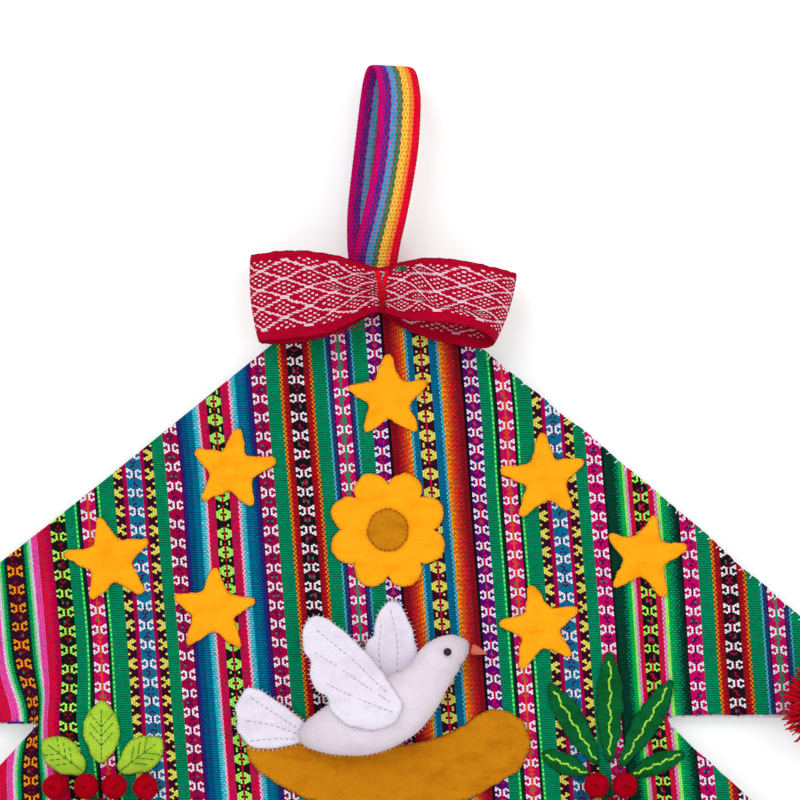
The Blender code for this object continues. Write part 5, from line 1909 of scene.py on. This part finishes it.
pale_thread = thread_finish("pale_thread", dyed(250, 244, 250))
plum_thread = thread_finish("plum_thread", dyed(70, 20, 110))
sewn("white_overcasting", [(on_front(right_side), False)], OVERCAST_SPACING, NOTCHED, 0.5 * MM,
     pale_thread, 0.4, seed=3)
under_lines = [(on_front(along_outline(wavering_outline, *box)), False) for box in UNDERSIDES]
sewn("plum_overcasting", under_lines, 6.5 * MM, OVER_EDGE, 0.4 * MM, plum_thread,
     0.5, seed=4)
build = bmesh.new()
for stitch in LONG_STITCHES:
    points = on_front(in_metres(stitch), proud=0.1 * MM)
    tube(build, [Vector(point) for point in points], LONG_STITCH_RADIUS)
indigo_thread = thread_finish("indigo_thread", dyed(52, 20, 140))
put_on("long_stitches", mesh_from(build, "long_stitches"), finish=indigo_thread)
back_line = []
for index, (x, z) in enumerate(lining_edge):
    after = Vector(lining_edge[(index + BACK_SMOOTHED) % len(lining_edge)])
    way = (after - Vector(lining_edge[index - BACK_SMOOTHED])).normalized()
    inside = (x + way.y * BACK_INSET, z - way.x * BACK_INSET)
    back_line.append((inside[0], BACKING_Y + BACKING_THICK / 2 + hang(*inside), inside[1]))
sewn("lining_stitches", [(back_line, True)], 6.0 * MM, BACK_RUNNING, 0.4 * MM, plum_thread,
     0.1, seed=6)

# The wall that it hangs on, a pale floor below, soft light from the upper left, and the camera.
WALL_Y = 19 * MM
WALL_HALF = 3.0
FLOOR_Z = -0.75
FRAME_WIDTH = 0.4
FRAME_MIDDLE = (3.5 * MM, -165 * MM)
LENS = 135
SENSOR = 36
FACE_Y = 9 * MM
WALL_PAINT, WALL_GLOW = (0.84, 0.86, 0.86, 1), 0.2
FLOOR_PAINT = (0.8, 0.8, 0.8, 1)
SKY = 0.72
LAMPS = (
    # name, where it stands, size and power of each square lamp that faces the middle of the picture
    ("key_light", (-0.8, -1.5, 0.8), 1.3, 14), ("fill_light", (1.2, -1.5, 0.2), 1.4, 7),
)


def plate(name, corners, roughness, colour):
    """A plain surface of the studio, its material and that material's node tree."""
    mesh = bpy.data.meshes.new(name)
    mesh.from_pydata(corners, [], [(0, 1, 2, 3)])
    add_object(name, mesh)
    paint, tree = new_finish(f"{name}_paint", roughness)
    tree.nodes["Principled BSDF"].inputs["Base Color"].default_value = colour
    mesh.materials.append(paint)
    return tree


wall = [(x * WALL_HALF, WALL_Y, z) for x, z in ((-1, FLOOR_Z), (1, FLOOR_Z), (1, WALL_HALF), (-1, WALL_HALF))]
floor = [(x * WALL_HALF, y * WALL_HALF, FLOOR_Z) for x, y in ((-1, -1), (1, -1), (1, 1), (-1, 1))]
tree = plate("wall", wall, 1.0, WALL_PAINT)
surface = tree.nodes["Principled BSDF"]
surface.inputs["Emission Color"].default_value = (1, 1, 1, 1)
surface.inputs["Emission Strength"].default_value = WALL_GLOW
behind = add(tree, "ShaderNodeNewGeometry", out="Backfacing")
clear = add(tree, "ShaderNodeBsdfTransparent")
faced = add(tree, "ShaderNodeMixShader", {0: behind, 1: Value(surface.outputs[0]), 2: clear})
tree.links.new(faced.socket, tree.nodes["Material Output"].inputs["Surface"])
plate("floor", floor, 0.8, FLOOR_PAINT)

for name, at, size, power in LAMPS:
    lamp = bpy.data.lights.new(name, "AREA")
    lamp.shape = "SQUARE"
    lamp.size = size
    lamp.energy = power
    light = add_object(name, lamp)
    light.location = at
    aim = Vector((FRAME_MIDDLE[0], FACE_Y, FRAME_MIDDLE[1])) - light.location
    light.rotation_euler = aim.to_track_quat("-Z", "Y").to_euler()
world = bpy.data.worlds.new("studio")
world.use_nodes = True
background = world.node_tree.nodes["Background"].inputs
background["Color"].default_value = (1, 1, 1, 1)
background["Strength"].default_value = SKY
bpy.context.scene.world = world
bpy.context.scene.view_settings.view_transform = "Standard"

lens = bpy.data.cameras.new("camera")
lens.lens = LENS
lens.sensor_width = SENSOR
camera = add_object("camera", lens)
camera.location = (FRAME_MIDDLE[0], FACE_Y - FRAME_WIDTH * LENS / SENSOR, FRAME_MIDDLE[1])
camera.rotation_euler = (math.pi / 2, 0, 0)
bpy.context.scene.camera = camera
